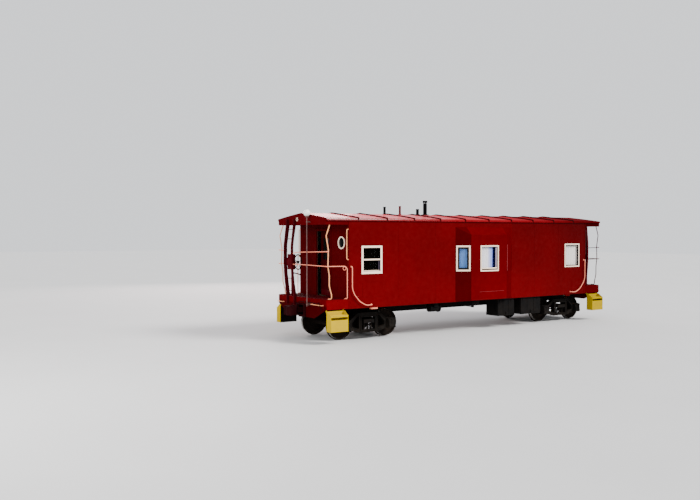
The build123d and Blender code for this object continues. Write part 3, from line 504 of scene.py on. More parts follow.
def turned(a, b):
    a, b = Vector(a), Vector(b)
    d = b - a
    return Matrix.Translation((a + b) / 2) @ d.to_track_quat("Z", "Y").to_matrix().to_4x4(), d.length


def rod(bm, a, b, r, seg=12, r2=None):
    m, length = turned(a, b)
    bmesh.ops.create_cone(bm, cap_ends=True, segments=seg, radius1=r, radius2=r if r2 is None else r2, depth=length, matrix=m)


def bolt(bm, p, n, r=0.014, h=0.011, sides=6):
    p, n = Vector(p), Vector(n).normalized()
    rod(bm, p - n * 0.004, p + n * 0.003, r * 1.5, 12)
    rod(bm, p, p + n * h, r, sides, r * 0.92)


def rivet(bm, p, n, r=0.012):
    p, n = Vector(p), Vector(n).normalized()
    rod(bm, p - n * 0.003, p + n * r * 0.35, r, 8, r * 0.86)
    rod(bm, p + n * r * 0.35, p + n * r * 0.62, r * 0.86, 8, r * 0.4)


def tube(bm, pts, r, seg=10, closed=False):
    pts = [Vector(p) for p in pts]
    n = len(pts)
    rings = []
    up = None
    for i, p in enumerate(pts):
        if closed:
            t = (pts[(i + 1) % n] - pts[i - 1]).normalized()
        else:
            t = (pts[min(i + 1, n - 1)] - pts[max(i - 1, 0)]).normalized()
        if up is None:
            up = t.orthogonal().normalized()
        up = (up - t * up.dot(t)).normalized()
        side = t.cross(up)
        rings.append([bm.verts.new(p + up * (r * math.cos(2 * math.pi * k / seg)) + side * (r * math.sin(2 * math.pi * k / seg))) for k in range(seg)])
    pairs = list(zip(rings, rings[1:])) + ([(rings[-1], rings[0])] if closed else [])
    if closed:
        # the frame may come back turned, so the last ring is matched to the first
        a = rings[-1][0].co
        k0 = min(range(seg), key=lambda k: (rings[0][k].co - a).length)
        first = rings[0][k0:] + rings[0][:k0]
        pairs[-1] = (rings[-1], first)
    for a, b in pairs:
        for k in range(seg):
            bm.faces.new((a[k], a[(k + 1) % seg], b[(k + 1) % seg], b[k]))
    if not closed:
        bm.faces.new(list(reversed(rings[0])))
        bm.faces.new(rings[-1])


def bent(pts, radius=0.06, steps=6):
    """Points of a polyline with its corners rounded."""
    pts = [Vector(p) for p in pts]
    out = [pts[0]]
    for a, b, c in zip(pts, pts[1:], pts[2:]):
        u, v = (a - b), (c - b)
        d = min(radius, u.length * 0.45, v.length * 0.45)
        p0, p1 = b + u.normalized() * d, b + v.normalized() * d
        for i in range(steps + 1):
            t = i / steps
            out.append(p0 * (1 - t) ** 2 + b * 2 * t * (1 - t) + p1 * t ** 2)
    out.append(pts[-1])
    return out


def ring_plate(bm, outer, inner, y0, y1):
    """A flat frame between two outlines of the same number of (x, z) points, from y0 to y1."""
    n = len(outer)
    v = {}
    for key, line, y in (("oa", outer, y0), ("ia", inner, y0), ("ob", outer, y1), ("ib", inner, y1)):
        v[key] = [bm.verts.new((x, y, z)) for x, z in line]
    for i in range(n):
        j = (i + 1) % n
        bm.faces.new((v["oa"][i], v["oa"][j], v["ia"][j], v["ia"][i]))
        bm.faces.new((v["ob"][j], v["ob"][i], v["ib"][i], v["ib"][j]))
        bm.faces.new((v["oa"][j], v["oa"][i], v["ob"][i], v["ob"][j]))
        bm.faces.new((v["ia"][i], v["ia"][j], v["ib"][j], v["ib"][i]))


def inset_line(line, d):
    """An outline moved inwards by d; the points run round it either way."""
    n = len(line)
    area2 = sum(line[i][0] * line[(i + 1) % n][1] - line[(i + 1) % n][0] * line[i][1] for i in range(n))
    sgn = 1 if area2 > 0 else -1
    out = []
    for i in range(n):
        p, q, r = Vector(line[i - 1]), Vector(line[i]), Vector(line[(i + 1) % n])
        a, b = (q - p).normalized(), (r - q).normalized()
        na, nb = Vector((-a.y, a.x)) * sgn, Vector((-b.y, b.x)) * sgn
        k = (na + nb)
        k = k / max(0.25, 1 + na.dot(nb))
        out.append(tuple(q + k * d))
    return out


END = ((-1, "a"), (1, "b"))      # the two ends of the car: the sign of X, and the letter
SIDES = (-1, 1)

# ------------------------------------------------------------------ windows
SIDE_WINDOWS = ((-4.788, -4.038, 1.985, 2.812, 0.062, "hung"), (4.110, 4.890, 1.964, 2.806, 0.038, "plain"))
MEET = 0.019
BAY = (-1.110, -0.640, 0.950, 1.420)
BAY_OUT = 0.240
Y_SIDE, Y_BAY = 1.420, 1.660


def gasket(bm, x0, x1, z0, z1, y_in, y_out, s, w=0.016, place=None):
    """A black frame round a pane. y runs inwards from the sheet face; s is the side of the car."""
    outer = [(x0, z0), (x1, z0), (x1, z1), (x0, z1)]
    inner = [(x0 + w, z0 + w), (x1 - w, z0 + w), (x1 - w, z1 - w), (x0 + w, z1 - w)]
    before = set(bm.verts)
    ring_plate(bm, outer, inner, y_in, y_out)
    if place:
        bmesh.ops.transform(bm, matrix=place, verts=[v for v in bm.verts if v not in before])


def face_frame(s, x=None, angle=0.0, y=Y_SIDE):
    """Matrix from a face's own axes (X along, Y inwards, Z up) to the car, for the side s."""
    m = Matrix.Translation((0 if x is None else x, -y, 0)) @ Matrix.Rotation(angle, 4, "Z")
    return Matrix.Diagonal((1, -s, 1, 1)) @ m if s > 0 else m


slant_angle = -math.atan2(BAY_OUT, BAY[1] - BAY[0])


def slant_frame(s, right):
    """Axes of a bay's slanted face: X from the side sheet outwards, Y inwards."""
    m = Matrix.Translation((BAY[0], -Y_SIDE, 0)) @ Matrix.Rotation(slant_angle, 4, "Z")
    if right:
        m = Matrix.Translation((BAY[0] + BAY[3], 0, 0)) @ Matrix.Diagonal((-1, 1, 1, 1)) @ m
    if s > 0:
        m = Matrix.Diagonal((1, -1, 1, 1)) @ m
    return m


FACES = []        # every window: place, x0, x1, z0, z1, border of its frame, kind
for s in SIDES:
    for x0, x1, z0, z1, border, kind in SIDE_WINDOWS:
        FACES.append((face_frame(s), x0, x1, H(z0), H(z1), border, kind))
    FACES.append((face_frame(s, y=Y_BAY), -0.237, 0.570, H(1.934), H(2.782), 0.040, "slide"))
    FACES.append((slant_frame(s, False), 0.023, 0.496, H(1.955), H(2.785), 0.050, "slant"))
# how far the front of each kind's pane lies behind the sheet face, and the width of its gasket
PANE_Y = {"hung": 0.030, "plain": 0.030, "slide": 0.024, "slant": 0.014}
GASKET_W = {"hung": 0.012, "plain": 0.030, "slide": 0.018, "slant": 0.058}

gaskets, sills, hoods, blinds_a, blinds_b, blinds_c, shade_sheets_d, navy, rails_w, stiles_w, stiles_d = (bmesh.new() for _ in range(11))


def moved(bm, place, make):
    before = set(bm.verts)
    make()
    new = [v for v in bm.verts if v not in before]
    bmesh.ops.transform(bm, matrix=place, verts=new)
    if place.determinant() < 0:
        bmesh.ops.reverse_faces(bm, faces=list({f for v in new for f in v.link_faces}))


for place, x0, x1, z0, z1, border, kind in FACES:
    a0, a1, c0, c1 = x0 + border, x1 - border, z0 + border, z1 - border
    zm = (z0 + z1) / 2
    if kind == "hung":
        cells = ((c0, zm - MEET), (zm + MEET, c1))
    else:
        cells = ((c0, c1),)
    pane_y = PANE_Y[kind]
    for b0, b1 in cells:
        gasket(gaskets, a0, a1, b0, b1, -0.008, pane_y - 0.0002, -1, GASKET_W[kind], place)
    # sloping sill under the frame, and a narrow hood over it
    sill_out = 0.024

    def make_sill(x0=x0, x1=x1, z0=z0, out=sill_out):
        block(sills, x0 - 0.004, x1 + 0.004, -out, 0.0, z0 - 0.012, z0 + 0.003, 0.004)

    def make_hood(x0=x0, x1=x1, z1=z1):
        block(hoods, x0 - 0.02, x1 + 0.02, -0.024, 0.0, z1 + 0.004, z1 + 0.016, 0.003)

    if kind == "hung":
        moved(sills, place, make_sill)
    if kind in ("hung", "plain"):
        moved(hoods, place, make_hood)
    if kind == "slide":
        def make_rail(a0=a0, a1=a1, c0=c0):
            block(rails_w, a0 + 0.016, a1 - 0.018, 0.006, 0.0235, c0 + 0.040, c0 + 0.076, 0.003)

        def make_sash(a0=a0, a1=a1, c0=c0, c1=c1):
            block(stiles_w, a1 - 0.084, a1 - 0.012, 0.008, 0.0237, c0 + 0.078, c1 - 0.016, 0.002)

        def make_slot(a0=a0, a1=a1, c0=c0):
            block(gaskets, a0 + 0.012, a1 - 0.012, 0.012, 0.0236, c0 + 0.014, c0 + 0.038, 0.001)
        moved(rails_w, place, make_rail)
        moved(stiles_w, place, make_sash)
        moved(gaskets, place, make_slot)
    if kind == "hung":
        def make_rail(a0=a0, a1=a1, c0=c0):
            block(rails_w, a0 + 0.012, a1 - 0.012, 0.014, 0.0296, c0 + 0.002, c0 + 0.030, 0.002)

        def make_sash(a0=a0, a1=a1, c0=c0, zm=zm):
            block(stiles_d, a1 - 0.058, a1 - 0.012, 0.014, 0.0296, c0 + 0.032, zm - MEET - 0.012, 0.002)
        moved(rails_w, place, make_rail)
        moved(stiles_d, place, make_sash)
    # behind each pane hangs a cloth: a blind, except the navy strip behind the bay front pane and the near-black
    # sheet behind the hung panes, which stand for the shade inside the cabin
    for bm_b, back_y, right_gap in {"plain": ((blinds_a, 0.062, 0.0),), "slide": ((blinds_b, 0.056, 0.200), (navy, 0.075, 0.0)),
                                    "slant": ((blinds_c, 0.062, 0.0),), "hung": ((shade_sheets_d, 0.075, 0.0),)}[kind]:
        def make_blind(bm_b=bm_b, a0=a0, a1=a1, c0=c0, c1=c1, back_y=back_y, right_gap=right_gap):
            # a hanging cloth with soft folds
            n, rows = 26, 6
            right = a1 + 0.01 - right_gap if right_gap else a1 + 0.06
            grid = []
            for j in range(rows + 1):
                z = c0 - 0.01 + (c1 - c0 + 0.02) * j / rows
                line = []
                for i in range(n + 1):
                    t = i / n
                    x = a0 - 0.01 + (right - a0 + 0.01) * t
                    y = back_y + 0.006 * math.sin(t * 31 + 0.6 * math.sin(j)) * (1 - 0.35 * j / rows)
                    line.append(bm_b.verts.new((x, y, z)))
                grid.append(line)
            back = []
            for line in grid:
                back.append([bm_b.verts.new((v.co.x, v.co.y + 0.003, v.co.z)) for v in line])
            for j in range(rows):
                for i in range(n):
                    bm_b.faces.new((grid[j][i], grid[j][i + 1], grid[j + 1][i + 1], grid[j + 1][i]))
                    bm_b.faces.new((back[j][i + 1], back[j][i], back[j + 1][i], back[j + 1][i + 1]))
            for j in range(rows):
                bm_b.faces.new((grid[j][0], grid[j + 1][0], back[j + 1][0], back[j][0]))
                bm_b.faces.new((grid[j + 1][n], grid[j][n], back[j][n], back[j + 1][n]))
            for i in range(n):
                bm_b.faces.new((grid[0][i + 1], grid[0][i], back[0][i], back[0][i + 1]))
                bm_b.faces.new((grid[rows][i], grid[rows][i + 1], back[rows][i + 1], back[rows][i]))
        moved(bm_b, place, make_blind)

done(gaskets, "window_gaskets", rubber)
done(sills, "window_sills", white)
done(hoods, "window_hoods", trim_red)
done(rails_w, "bay_sash_rails", white)
done(blinds_a, "side_blinds", blind_green)
done(blinds_b, "bay_front_blinds", blind_pale)
done(blinds_c, "bay_side_blinds", blind_sky_shade)
done(shade_sheets_d, "side_shade_sheets", interior_shade_sheet)
done(navy, "bay_navy_shade_sheets", navy_shade_sheet)
done(stiles_w, "sash_stiles", sash_shaded_grey)
done(stiles_d, "side_sash_stiles", sash_shade)

# the slanted face towards the B end has a plate over the place of its window
plates, highlight_strips = bmesh.new(), bmesh.new()
for s in SIDES:
    def make_plate():
        block(plates, 0.030, 0.500, -0.006, 0.0, H(1.930), H(2.810), 0.002)
        block(plates, 0.018, 0.044, -0.012, 0.0, H(1.930), H(2.810), 0.003)
        for x in (0.066, 0.440):
            for i in range(7):
                rivet(plates, (x, -0.006, H(1.975 + i * 0.132)), (0, -1, 0), 0.008)
    moved(plates, slant_frame(s, True), make_plate)
    # pale strip on the cover plate's edge at the bay's front corner: painted highlight
    moved(highlight_strips, slant_frame(s, True), lambda: block(highlight_strips, 0.470, 0.512, -0.018, 0.0, H(1.925), H(2.800), 0.004))
done(plates, "bay_cover_plates", bay_red)

# ------------------------------------------------------------------ sheet joints, sill angles and rivets of the body
seams, angles, heads = bmesh.new(), bmesh.new(), bmesh.new()
for s in SIDES:
    y = s * Y_SIDE
    for x in (-3.42, -1.95, 2.55, 3.78):
        block(seams, x - 0.0035, x + 0.0035, y, y + s * 0.0022, H(0.97), H(3.55), 0.001, 1)
    # plate under the window near the A end
    block(seams, -4.745, -3.990, y, y + s * 0.004, H(1.285), H(1.720), 0.0015, 1)
    # corner angles and the side sill angle
    for e in (-1, 1):
        x = e * 5.235
        block(angles, x - e * 0.055, x + e * 0.006, y - s * 0.002, y + s * 0.006, H(1.0), H(3.552), 0.002, 1)
        block(angles, x, x + e * 0.006, y - s * 0.055, y + s * 0.006, H(1.252), H(3.552), 0.002, 1)
    # sill angle, in two lengths either side of the bay
    for xa, xb in ((-5.235, BAY[0]), (BAY[3], 5.235)):
        block(angles, xa, xb, y, y + s * 0.007, H(0.966), H(1.012), 0.002, 1)
        n = int((xb - xa) / 0.16)
        for i in range(n):
            rivet(heads, (xa + (i + 0.5) * (xb - xa) / n, y + s * 0.007, H(0.989)), (0, s, 0), 0.0085)
# bay: a thin trim line on its front, pale as a painted highlight, and a lower angle
for s in SIDES:
    y = s * Y_BAY
    block(highlight_strips, BAY[1] + 0.36, BAY[2] - 0.12, y, y + s * 0.006, H(1.262), H(1.273), 0.0015, 1)
    block(angles, BAY[1], BAY[2], y, y + s * 0.005, H(1.003), H(1.040), 0.002, 1)
done(seams, "sheet_seams", body_red)
done(highlight_strips, "bay_edge_highlights", highlight_red)
done(angles, "body_angles", body_red)

# end walls: belt strip, door frame, threshold and rivets
trim, sill_metal = bmesh.new(), bmesh.new()
for e, letter in END:
    x = e * 5.235
    dx = e * 0.014
    w, top = 0.410, H(3.250)
    for s in (-1, 1):
        block(trim, x, x + dx, s * w, s * (w + 0.055), H(1.252), top + 0.055, 0.003, 1)
    block(trim, x, x + dx, -w, w, top, top + 0.055, 0.003, 1)
    block(trim, x, x + e * 0.05, -w - 0.07, w + 0.07, top + 0.060, top + 0.078, 0.003, 1)
    block(sill_metal, x - e * 0.05, x + e * 0.03, -w, w, H(1.2505), H(1.2555), 0.002, 1)
    for s in (-1, 1):
        for i in range(9):
            z = H(1.36 + i * 0.225)
            rivet(heads, (x + dx, s * (w + 0.0275), z), (e, 0, 0), 0.008)
done(trim, "door_frames", end_shade_red)
done(sill_metal, "door_thresholds", black)
done(heads, "body_rivets", body_red)

# ------------------------------------------------------------------ doors
AJAR = math.radians(10)


def hang(bm, e):
    """The A end door stands ajar: turn a piece drawn on the closed leaf about the hinge line."""
    if e < 0:
        at = Vector((-5.175, -0.404, 0))
        m = Matrix.Translation(at) @ Matrix.Rotation(-AJAR, 4, "Z") @ Matrix.Translation(-at)
        bmesh.ops.transform(bm, matrix=m, verts=bm.verts)


for e, letter in END:
    bm = bmesh.new()
    x = e * 5.215            # outer face of the leaf
    hy = e * 0.404           # hinge side
    # window moulding, kick plate and edge bolts, on the outer face
    for s in (-1, 1):
        block(bm, x, x + e * 0.010, s * 0.230, s * 0.262, H(2.338), H(3.062), 0.003, 1)
    block(bm, x, x + e * 0.010, -0.262, 0.262, H(3.030), H(3.062), 0.003, 1)
    block(bm, x, x + e * 0.010, -0.262, 0.262, H(2.338), H(2.370), 0.003, 1)
    for z in (1.50, 2.25, 3.00):
        rod(bm, (e * 5.166, hy, H(z) - 0.06), (e * 5.166, hy, H(z) + 0.06), 0.009, 12)
        block(bm, e * 5.1755, e * 5.170, hy, hy - e * 0.09, H(z) - 0.05, H(z) + 0.05, 0.002, 1)
    hang(bm, e)
    done(bm, f"door_trim_{letter}", door_shade_red, body=f"door_{letter}")
    bm = bmesh.new()
    block(bm, x, x + e * 0.004, -0.38, 0.38, H(1.275), H(1.44), 0.002, 1)
    for s in (-1, 1):
        for k in range(2):
            rivet(bm, (x + e * 0.004, s * 0.36, H(1.30 + 0.115 * k)), (e, 0, 0), 0.007)
    hang(bm, e)
    done(bm, f"door_kick_plate_{letter}", maroon, body=f"door_{letter}")

# ------------------------------------------------------------------ end platforms
deck, sill_rivets, sill_iron, bracket = bmesh.new(), bmesh.new(), bmesh.new(), bmesh.new()
for e, letter in END:
    # chequered deck plates, three of them, laid on the platform
    for k in range(3):
        y0, y1 = -1.385 + k * 0.925, -1.385 + k * 0.925 + 0.915
        block(deck, e * 5.262, e * 5.985, y0, y1, H(1.250), H(1.256), 0.0015, 1)
        ny, nx = 17, 13
        for i in range(nx):
            for j in range(ny):
                cx, cy = 5.30 + i * 0.0545, y0 + 0.035 + j * 0.0525
                turn = 1 if (i + j) % 2 else -1
                before = set(deck.verts)
                block(deck, -0.014, 0.014, -0.004, 0.004, 0, 0.0025)
                m = Matrix.Translation((e * cx, cy, H(1.2555))) @ Matrix.Rotation(turn * math.pi / 4, 4, "Z")
                bmesh.ops.transform(deck, matrix=m, verts=[v for v in deck.verts if v not in before])
    x = e * 6.020
    # rivets round the end sill plate
    for i in range(19):
        y = -1.35 + i * 0.15
        rivet(sill_rivets, (x, y, H(1.215)), (e, 0, 0), 0.011)
    for i in range(10):
        y = -0.70 + i * 1.40 / 9
        if abs(y) > 0.27:
            rivet(sill_rivets, (x, y, H(0.715)), (e, 0, 0), 0.011)
    for s in (-1, 1):
        for i in range(5):
            t = (i + 0.5) / 5
            rivet(sill_rivets, (x, s * (0.78 + 0.58 * t), H(0.722 + 0.275 * t)), (e, 0, 0), 0.011)
        # side skirt rivets
        for i in range(5):
            rivet(sill_rivets, (e * (5.30 + i * 0.165), s * 1.420, H(1.215)), (0, s, 0), 0.010)
    # striker casting round the coupler, with its bolts
    ring_out = [(-0.270, H(0.690)), (0.270, H(0.690)), (0.270, H(1.075)), (-0.270, H(1.075))]
    ring_in = [(-0.190, H(0.735)), (0.190, H(0.735)), (0.190, H(1.025)), (-0.190, H(1.025))]
    before = set(sill_iron.verts)
    ring_plate(sill_iron, ring_out, ring_in, 0.0, 0.045)
    m = Matrix(((0, e, 0, x), (1, 0, 0, 0), (0, 0, 1, 0), (0, 0, 0, 1)))
    bmesh.ops.transform(sill_iron, matrix=m, verts=[v for v in sill_iron.verts if v not in before])
    for sy in (-1, 1):
        for z in (0.77, 0.88, 0.99):
            bolt(sill_iron, (x + e * 0.045, sy * 0.23, H(z)), (e, 0, 0), 0.015, 0.014)
    # uncoupling lever: rod in two brackets, bent down at its end into a handle
    lx = e * 6.085
    tube(sill_iron, bent([(lx, 0.0, H(1.035)), (lx, 0.03, H(1.125)), (lx, -e * -0.20, H(1.135)), (lx, -e * -1.16, H(1.135)),
                          (lx, -e * -1.24, H(1.02)), (lx + e * 0.02, -e * -1.27, H(0.90))], 0.05), 0.012, 10)
    for yy in (0.34, 1.02):
        block(bracket, x, lx + e * 0.018, e * yy - 0.02, e * yy + 0.02, H(1.118), H(1.152), 0.004)
        block(bracket, x, x + e * 0.008, e * yy - 0.03, e * yy + 0.03, H(1.09), H(1.18), 0.003)
    # shackles on the corners of the end sill
    for s in (-1, 1):
        block(bracket, x, x + e * 0.03, s * 1.30 - 0.035, s * 1.30 + 0.035, H(1.000), H(1.055), 0.008)
done(deck, "deck_plates", deck_paint)
done(sill_rivets, "end_sill_rivets", trim_red)
done(sill_iron, "strikers_and_levers", coupler_iron)
done(bracket, "end_sill_brackets", trim_red)

# ------------------------------------------------------------------ couplers
for e, letter in END:
    bm = bmesh.new()

    def at(x, y, z):
        """Point in the coupler's own axes: x outwards from the head's root."""
        return (e * (6.200 + x), -e * y if e < 0 else e * -y, H(0.876) + z)
    sgn = 1.0
    # knuckle pin with its head and washer, lock lifter and the knuckle's seam
    px, py = 0.265, -0.150
    rod(bm, at(px, py, 0.128), at(px, py, 0.150), 0.040, 20)
    rod(bm, at(px, py, 0.150), at(px, py, 0.168), 0.028, 20, 0.020)
    rod(bm, at(px, py, -0.150), at(px, py, -0.130), 0.034, 20)
    rod(bm, at(0.12, 0.02, 0.13), at(0.12, 0.02, 0.155), 0.055, 20, 0.045)
    tube(bm, bent([at(0.10, 0.02, 0.150), at(0.10, 0.02, 0.20), at(0.14, 0.02, 0.20), at(0.14, 0.02, 0.150)], 0.018), 0.008, 8)
    for z in (-0.105, 0.0, 0.105):
        rod(bm, at(0.03, -0.105, z), at(0.03, 0.105, z), 0.020, 12)
    done(bm, f"coupler_fittings_{letter}", coupler_iron, body=f"coupler_{letter}")

# ------------------------------------------------------------------ roof
strip, roof_bolts = bmesh.new(), bmesh.new()
for s in SIDES:
    block(strip, -6.012, 6.012, s * 1.460, s * 1.466, H(3.556), H(3.574), 0.002, 1)
for k in range(10):
    x = -4.920 + 1.050 * k
    for s in SIDES:
        for t in (0.12, 0.32, 0.52, 0.72, 0.90):
            y = s * 1.40 * t
            z = H(3.795) - (3.795 - 3.629) * t + 0.007 * math.sin(math.pi * t) * 1.0
            for dx in (-0.045, 0.045):
                if (x + dx + 2.905) ** 2 + y * y > 0.08 ** 2:
                    rivet(roof_bolts, (x + dx, y, z), (0, s * 0.118, 0.993), 0.010)
for x, r in ((-2.905, 0.058), (-2.280, 0.052), (-1.540, 0.095), (-1.215, 0.120)):
    for k in range(6):
        a = math.radians(60 * k + 20)
        rivet(roof_bolts, (x + (r - 0.012) * math.cos(a), (r - 0.012) * math.sin(a), H(3.813)), (0, 0, 1), 0.006)
done(strip, "eave_strips", roof_red)
done(roof_bolts, "roof_rivets", roof_red)

# white ring on the A end fascia
bm = bmesh.new()
cx, cy, cz = -6.036, 0.205, H(3.600)
tube(bm, [(cx - 0.012, cy + 0.046 * math.cos(a), cz + 0.046 * math.sin(a)) for a in [2 * math.pi * i / 32 for i in range(32)]], 0.007, 10, True)
rod(bm, (-6.025, cy, cz - 0.046), (cx - 0.014, cy, cz - 0.046), 0.008, 12)
rod(bm, (-6.025, cy, cz + 0.046), (cx - 0.014, cy, cz + 0.046), 0.008, 12)
done(bm, "fascia_ring", white)

# lamp: fitter, cap and the pole's clamps
bm = bmesh.new()
lx, ly = -6.132, -0.530
rod(bm, (lx, ly, H(3.655)), (lx, ly, H(3.700)), 0.050, 24, 0.060)
rod(bm, (lx, ly, H(3.876)), (lx, ly, H(3.895)), 0.018, 16, 0.008)
for z in (1.05, 3.50):
    rod(bm, (lx, ly, H(z)), (lx, ly, H(z + 0.04)), 0.021, 16)
rod(bm, (lx, ly, H(1.02)), (lx, ly, H(1.035)), 0.018, 16, 0.013)
done(bm, "lamp_fittings", post_paint)

# ------------------------------------------------------------------ feet of the grab irons and rails
feet, feet_b = bmesh.new(), bmesh.new()


def foot(bm, p, n, r=0.024, bolts=True):
    p, n = Vector(p), Vector(n).normalized()
    rod(bm, p, p + n * 0.007, r, 16, r * 0.92)
    if bolts:
        u = n.orthogonal().normalized() if abs(n.z) > 0.9 else Vector((0, 0, 1))
        for k in (-1, 1):
            rivet(bm, p + n * 0.006 + u * (k * r * 0.72), n, 0.0055)


for e, letter in END:
    bm = feet if e < 0 else feet_b
    for s in SIDES:
        foot(feet, (e * 5.152, s * 1.420, H(2.200)), (0, s, 0))
        foot(feet, (e * 4.430, s * 1.420, H(1.058)), (0, s, 0))
        for z in (3.299, 2.412):
            foot(bm, (e * 5.235, s * 1.395, H(z)), (e, 0, 0), 0.022)
        # straps that hold the turned-in feet of the pole and of the hoop to the deck
        for x, y, r in ((5.816, 1.262, 0.017), (5.310, 1.362, 0.014)):
            block(bm, e * (x - 0.030), e * (x + 0.030), s * (y - 0.020), s * (y + 0.020), H(1.250) + 2 * r - 0.006, H(1.250) + 2 * r + 0.002, 0.002)
            for k in (-1, 1):
                block(bm, e * (x + k * 0.026), e * (x + k * 0.052), s * (y - 0.020), s * (y + 0.020), H(1.250), H(1.256), 0.001)
                block(bm, e * (x + k * 0.024), e * (x + k * 0.030), s * (y - 0.020), s * (y + 0.020), H(1.250), H(1.250) + 2 * r, 0.001)
                bolt(bm, (e * (x + k * 0.043), s * y, H(1.256)), (0, 0, 1), 0.007, 0.006)
        # clamps between the rails and the corner pole
        for z_rail, x_pole, z_pole in ((2.652, 5.929, 2.652), (2.226, 5.939, 2.226)):
            a = Vector((e * 6.000, s * 1.428, H(z_rail)))
            b = Vector((e * x_pole, s * 1.389, H(z_pole)))
            rod(bm, a, b, 0.010, 10)
            rod(bm, b - Vector((0, 0, 0.018)), b + Vector((0, 0, 0.018)), 0.019, 16)
            along = Vector((0, s * 1.0, 0))
            rod(bm, a - along * 0.018, a + along * 0.010, 0.0155, 16)
        # upper end of the pole under the roof edge
        rod(bm, (e * 5.880, s * 1.389, H(3.545)), (e * 5.880, s * 1.389, H(3.556)), 0.030, 18)
    for y, z in ((-1.25, 1.09), (-0.65, 1.09), (1.40, 1.04), (1.09, 1.04)):
        foot(bm, (e * 6.020, -e * y if e > 0 else y, H(z)), (e, 0, 0), 0.022)
done(feet, "rail_feet_a", cream)
done(feet_b, "rail_feet_b", maroon)

# small ring that hangs on the hoop by the near corner of the A end platform
bm = bmesh.new()
for e in (-1,):
    for s in (-1,):
        c = Vector((e * 5.407, s * 1.448, H(2.158)))
        tube(bm, [(c.x + 0.048 * math.cos(a), c.y, c.z + 0.048 * math.sin(a)) for a in [2 * math.pi * i / 24 for i in range(24)]], 0.006, 8, True)
done(bm, "hoop_ring", cream)

# jacking pads under the side sills, over each truck
for e, letter in END:
    bm = bmesh.new()
    for s in SIDES:
        block(bm, e * 4.30 - 0.115, e * 4.30 + 0.115, s * 1.30, s * 1.412, H(0.916), H(0.966), 0.008)
        for dx in (-0.08, 0.08):
            bolt(bm, (e * 4.30 + dx, s * 1.412, H(0.940)), (0, s, 0), 0.010, 0.008)
    done(bm, f"jacking_pads_{letter}", cream if e < 0 else body_red)

# ------------------------------------------------------------------ hand brakes and ladders
for e, letter in END:
    bm = bmesh.new()

    def P(x, y, z):
        return (-x, -y, z) if e > 0 else (x, y, z)

    def blk(x0, x1, y0, y1, z0, z1, bv=0.0):
        a, b = P(x0, y0, z0), P(x1, y1, z1)
        block(bm, a[0], b[0], a[1], b[1], z0, z1, bv)
    # domed cover, cover bolts, release lever and chain casing below the housing
    blk(-6.142, -6.130, 0.430, 0.676, H(2.215), H(2.395), 0.008)
    for y in (0.400, 0.553, 0.706):
        for z in (2.200, 2.410):
            bolt(bm, P(-6.130, y, H(z)), (e, 0, 0), 0.011, 0.009)
    tube(bm, bent([P(-6.05, 0.688, H(2.46)), P(-6.05, 0.728, H(2.46)), P(-6.05, 0.728, H(2.30))], 0.03), 0.009, 8)
    blk(-6.060, -6.010, 0.505, 0.565, H(1.256), H(2.070), 0.008)
    done(bm, f"brake_cover_{letter}", maroon)
    bm = bmesh.new()
    # nut on the wheel, rim grips
    hub = Vector(P(-5.830, 0.560, H(2.290)))
    rod(bm, hub + Vector((-e * 0.036, 0, 0)), hub + Vector((-e * 0.058, 0, 0)), 0.022, 6)
    for k in range(15):
        a = 2 * math.pi * k / 15
        c = hub + Vector((-e * 0.020, 0.227 * math.cos(a), 0.227 * math.sin(a)))
        t = Vector((0, -math.sin(a), math.cos(a)))
        rod(bm, c - t * 0.030, c + t * 0.030, 0.0180, 10)
    done(bm, f"brake_wheel_nut_{letter}", black)
    bm = bmesh.new()
    for y in (0.330, 0.776):
        for z in (1.04, 1.09):
            bolt(bm, P(-6.099, y, H(z)), (e, 0, 0), 0.012, 0.010)
        bolt(bm, P(-6.109, y, H(3.505)), (e, 0, 0), 0.012, 0.010)
    done(bm, f"ladder_bolts_{letter}", maroon)
    bm = bmesh.new()
    # legs along the back of the stiles, wider at the ends
    for y, widths in ((0.750, (0.058, 0.036, 0.032, 0.036, 0.050)), (0.349, (0.050, 0.014, 0.008, 0.014, 0.044))):
        rows = []
        for (x, z), w in zip(((-6.068, 1.270), (-6.135, 1.900), (-6.158, 2.300), (-6.154, 2.800), (-6.078, 3.426)), widths):
            rows.append([bm.verts.new(P(x + dx, y + dy, H(z))) for dx, dy in ((0.029, 0), (0.033 + w, 0), (0.033 + w, 0.008), (0.029, 0.008))])
        for a, b in zip(rows, rows[1:]):
            for k in range(4):
                bm.faces.new((a[k], a[(k + 1) % 4], b[(k + 1) % 4], b[k]))
        bm.faces.new(rows[0])
        bm.faces.new(list(reversed(rows[-1])))
    # foot lever of the hand brake
    tube(bm, [P(-6.120, 0.330, H(1.978)), P(-5.985, 0.326, H(1.948)), P(-5.870, 0.322, H(1.915))], 0.018, 10)
    rod(bm, P(-5.878, 0.286, H(1.917)), P(-5.878, 0.358, H(1.917)), 0.022, 14)
    done(bm, f"ladder_legs_{letter}", maroon)

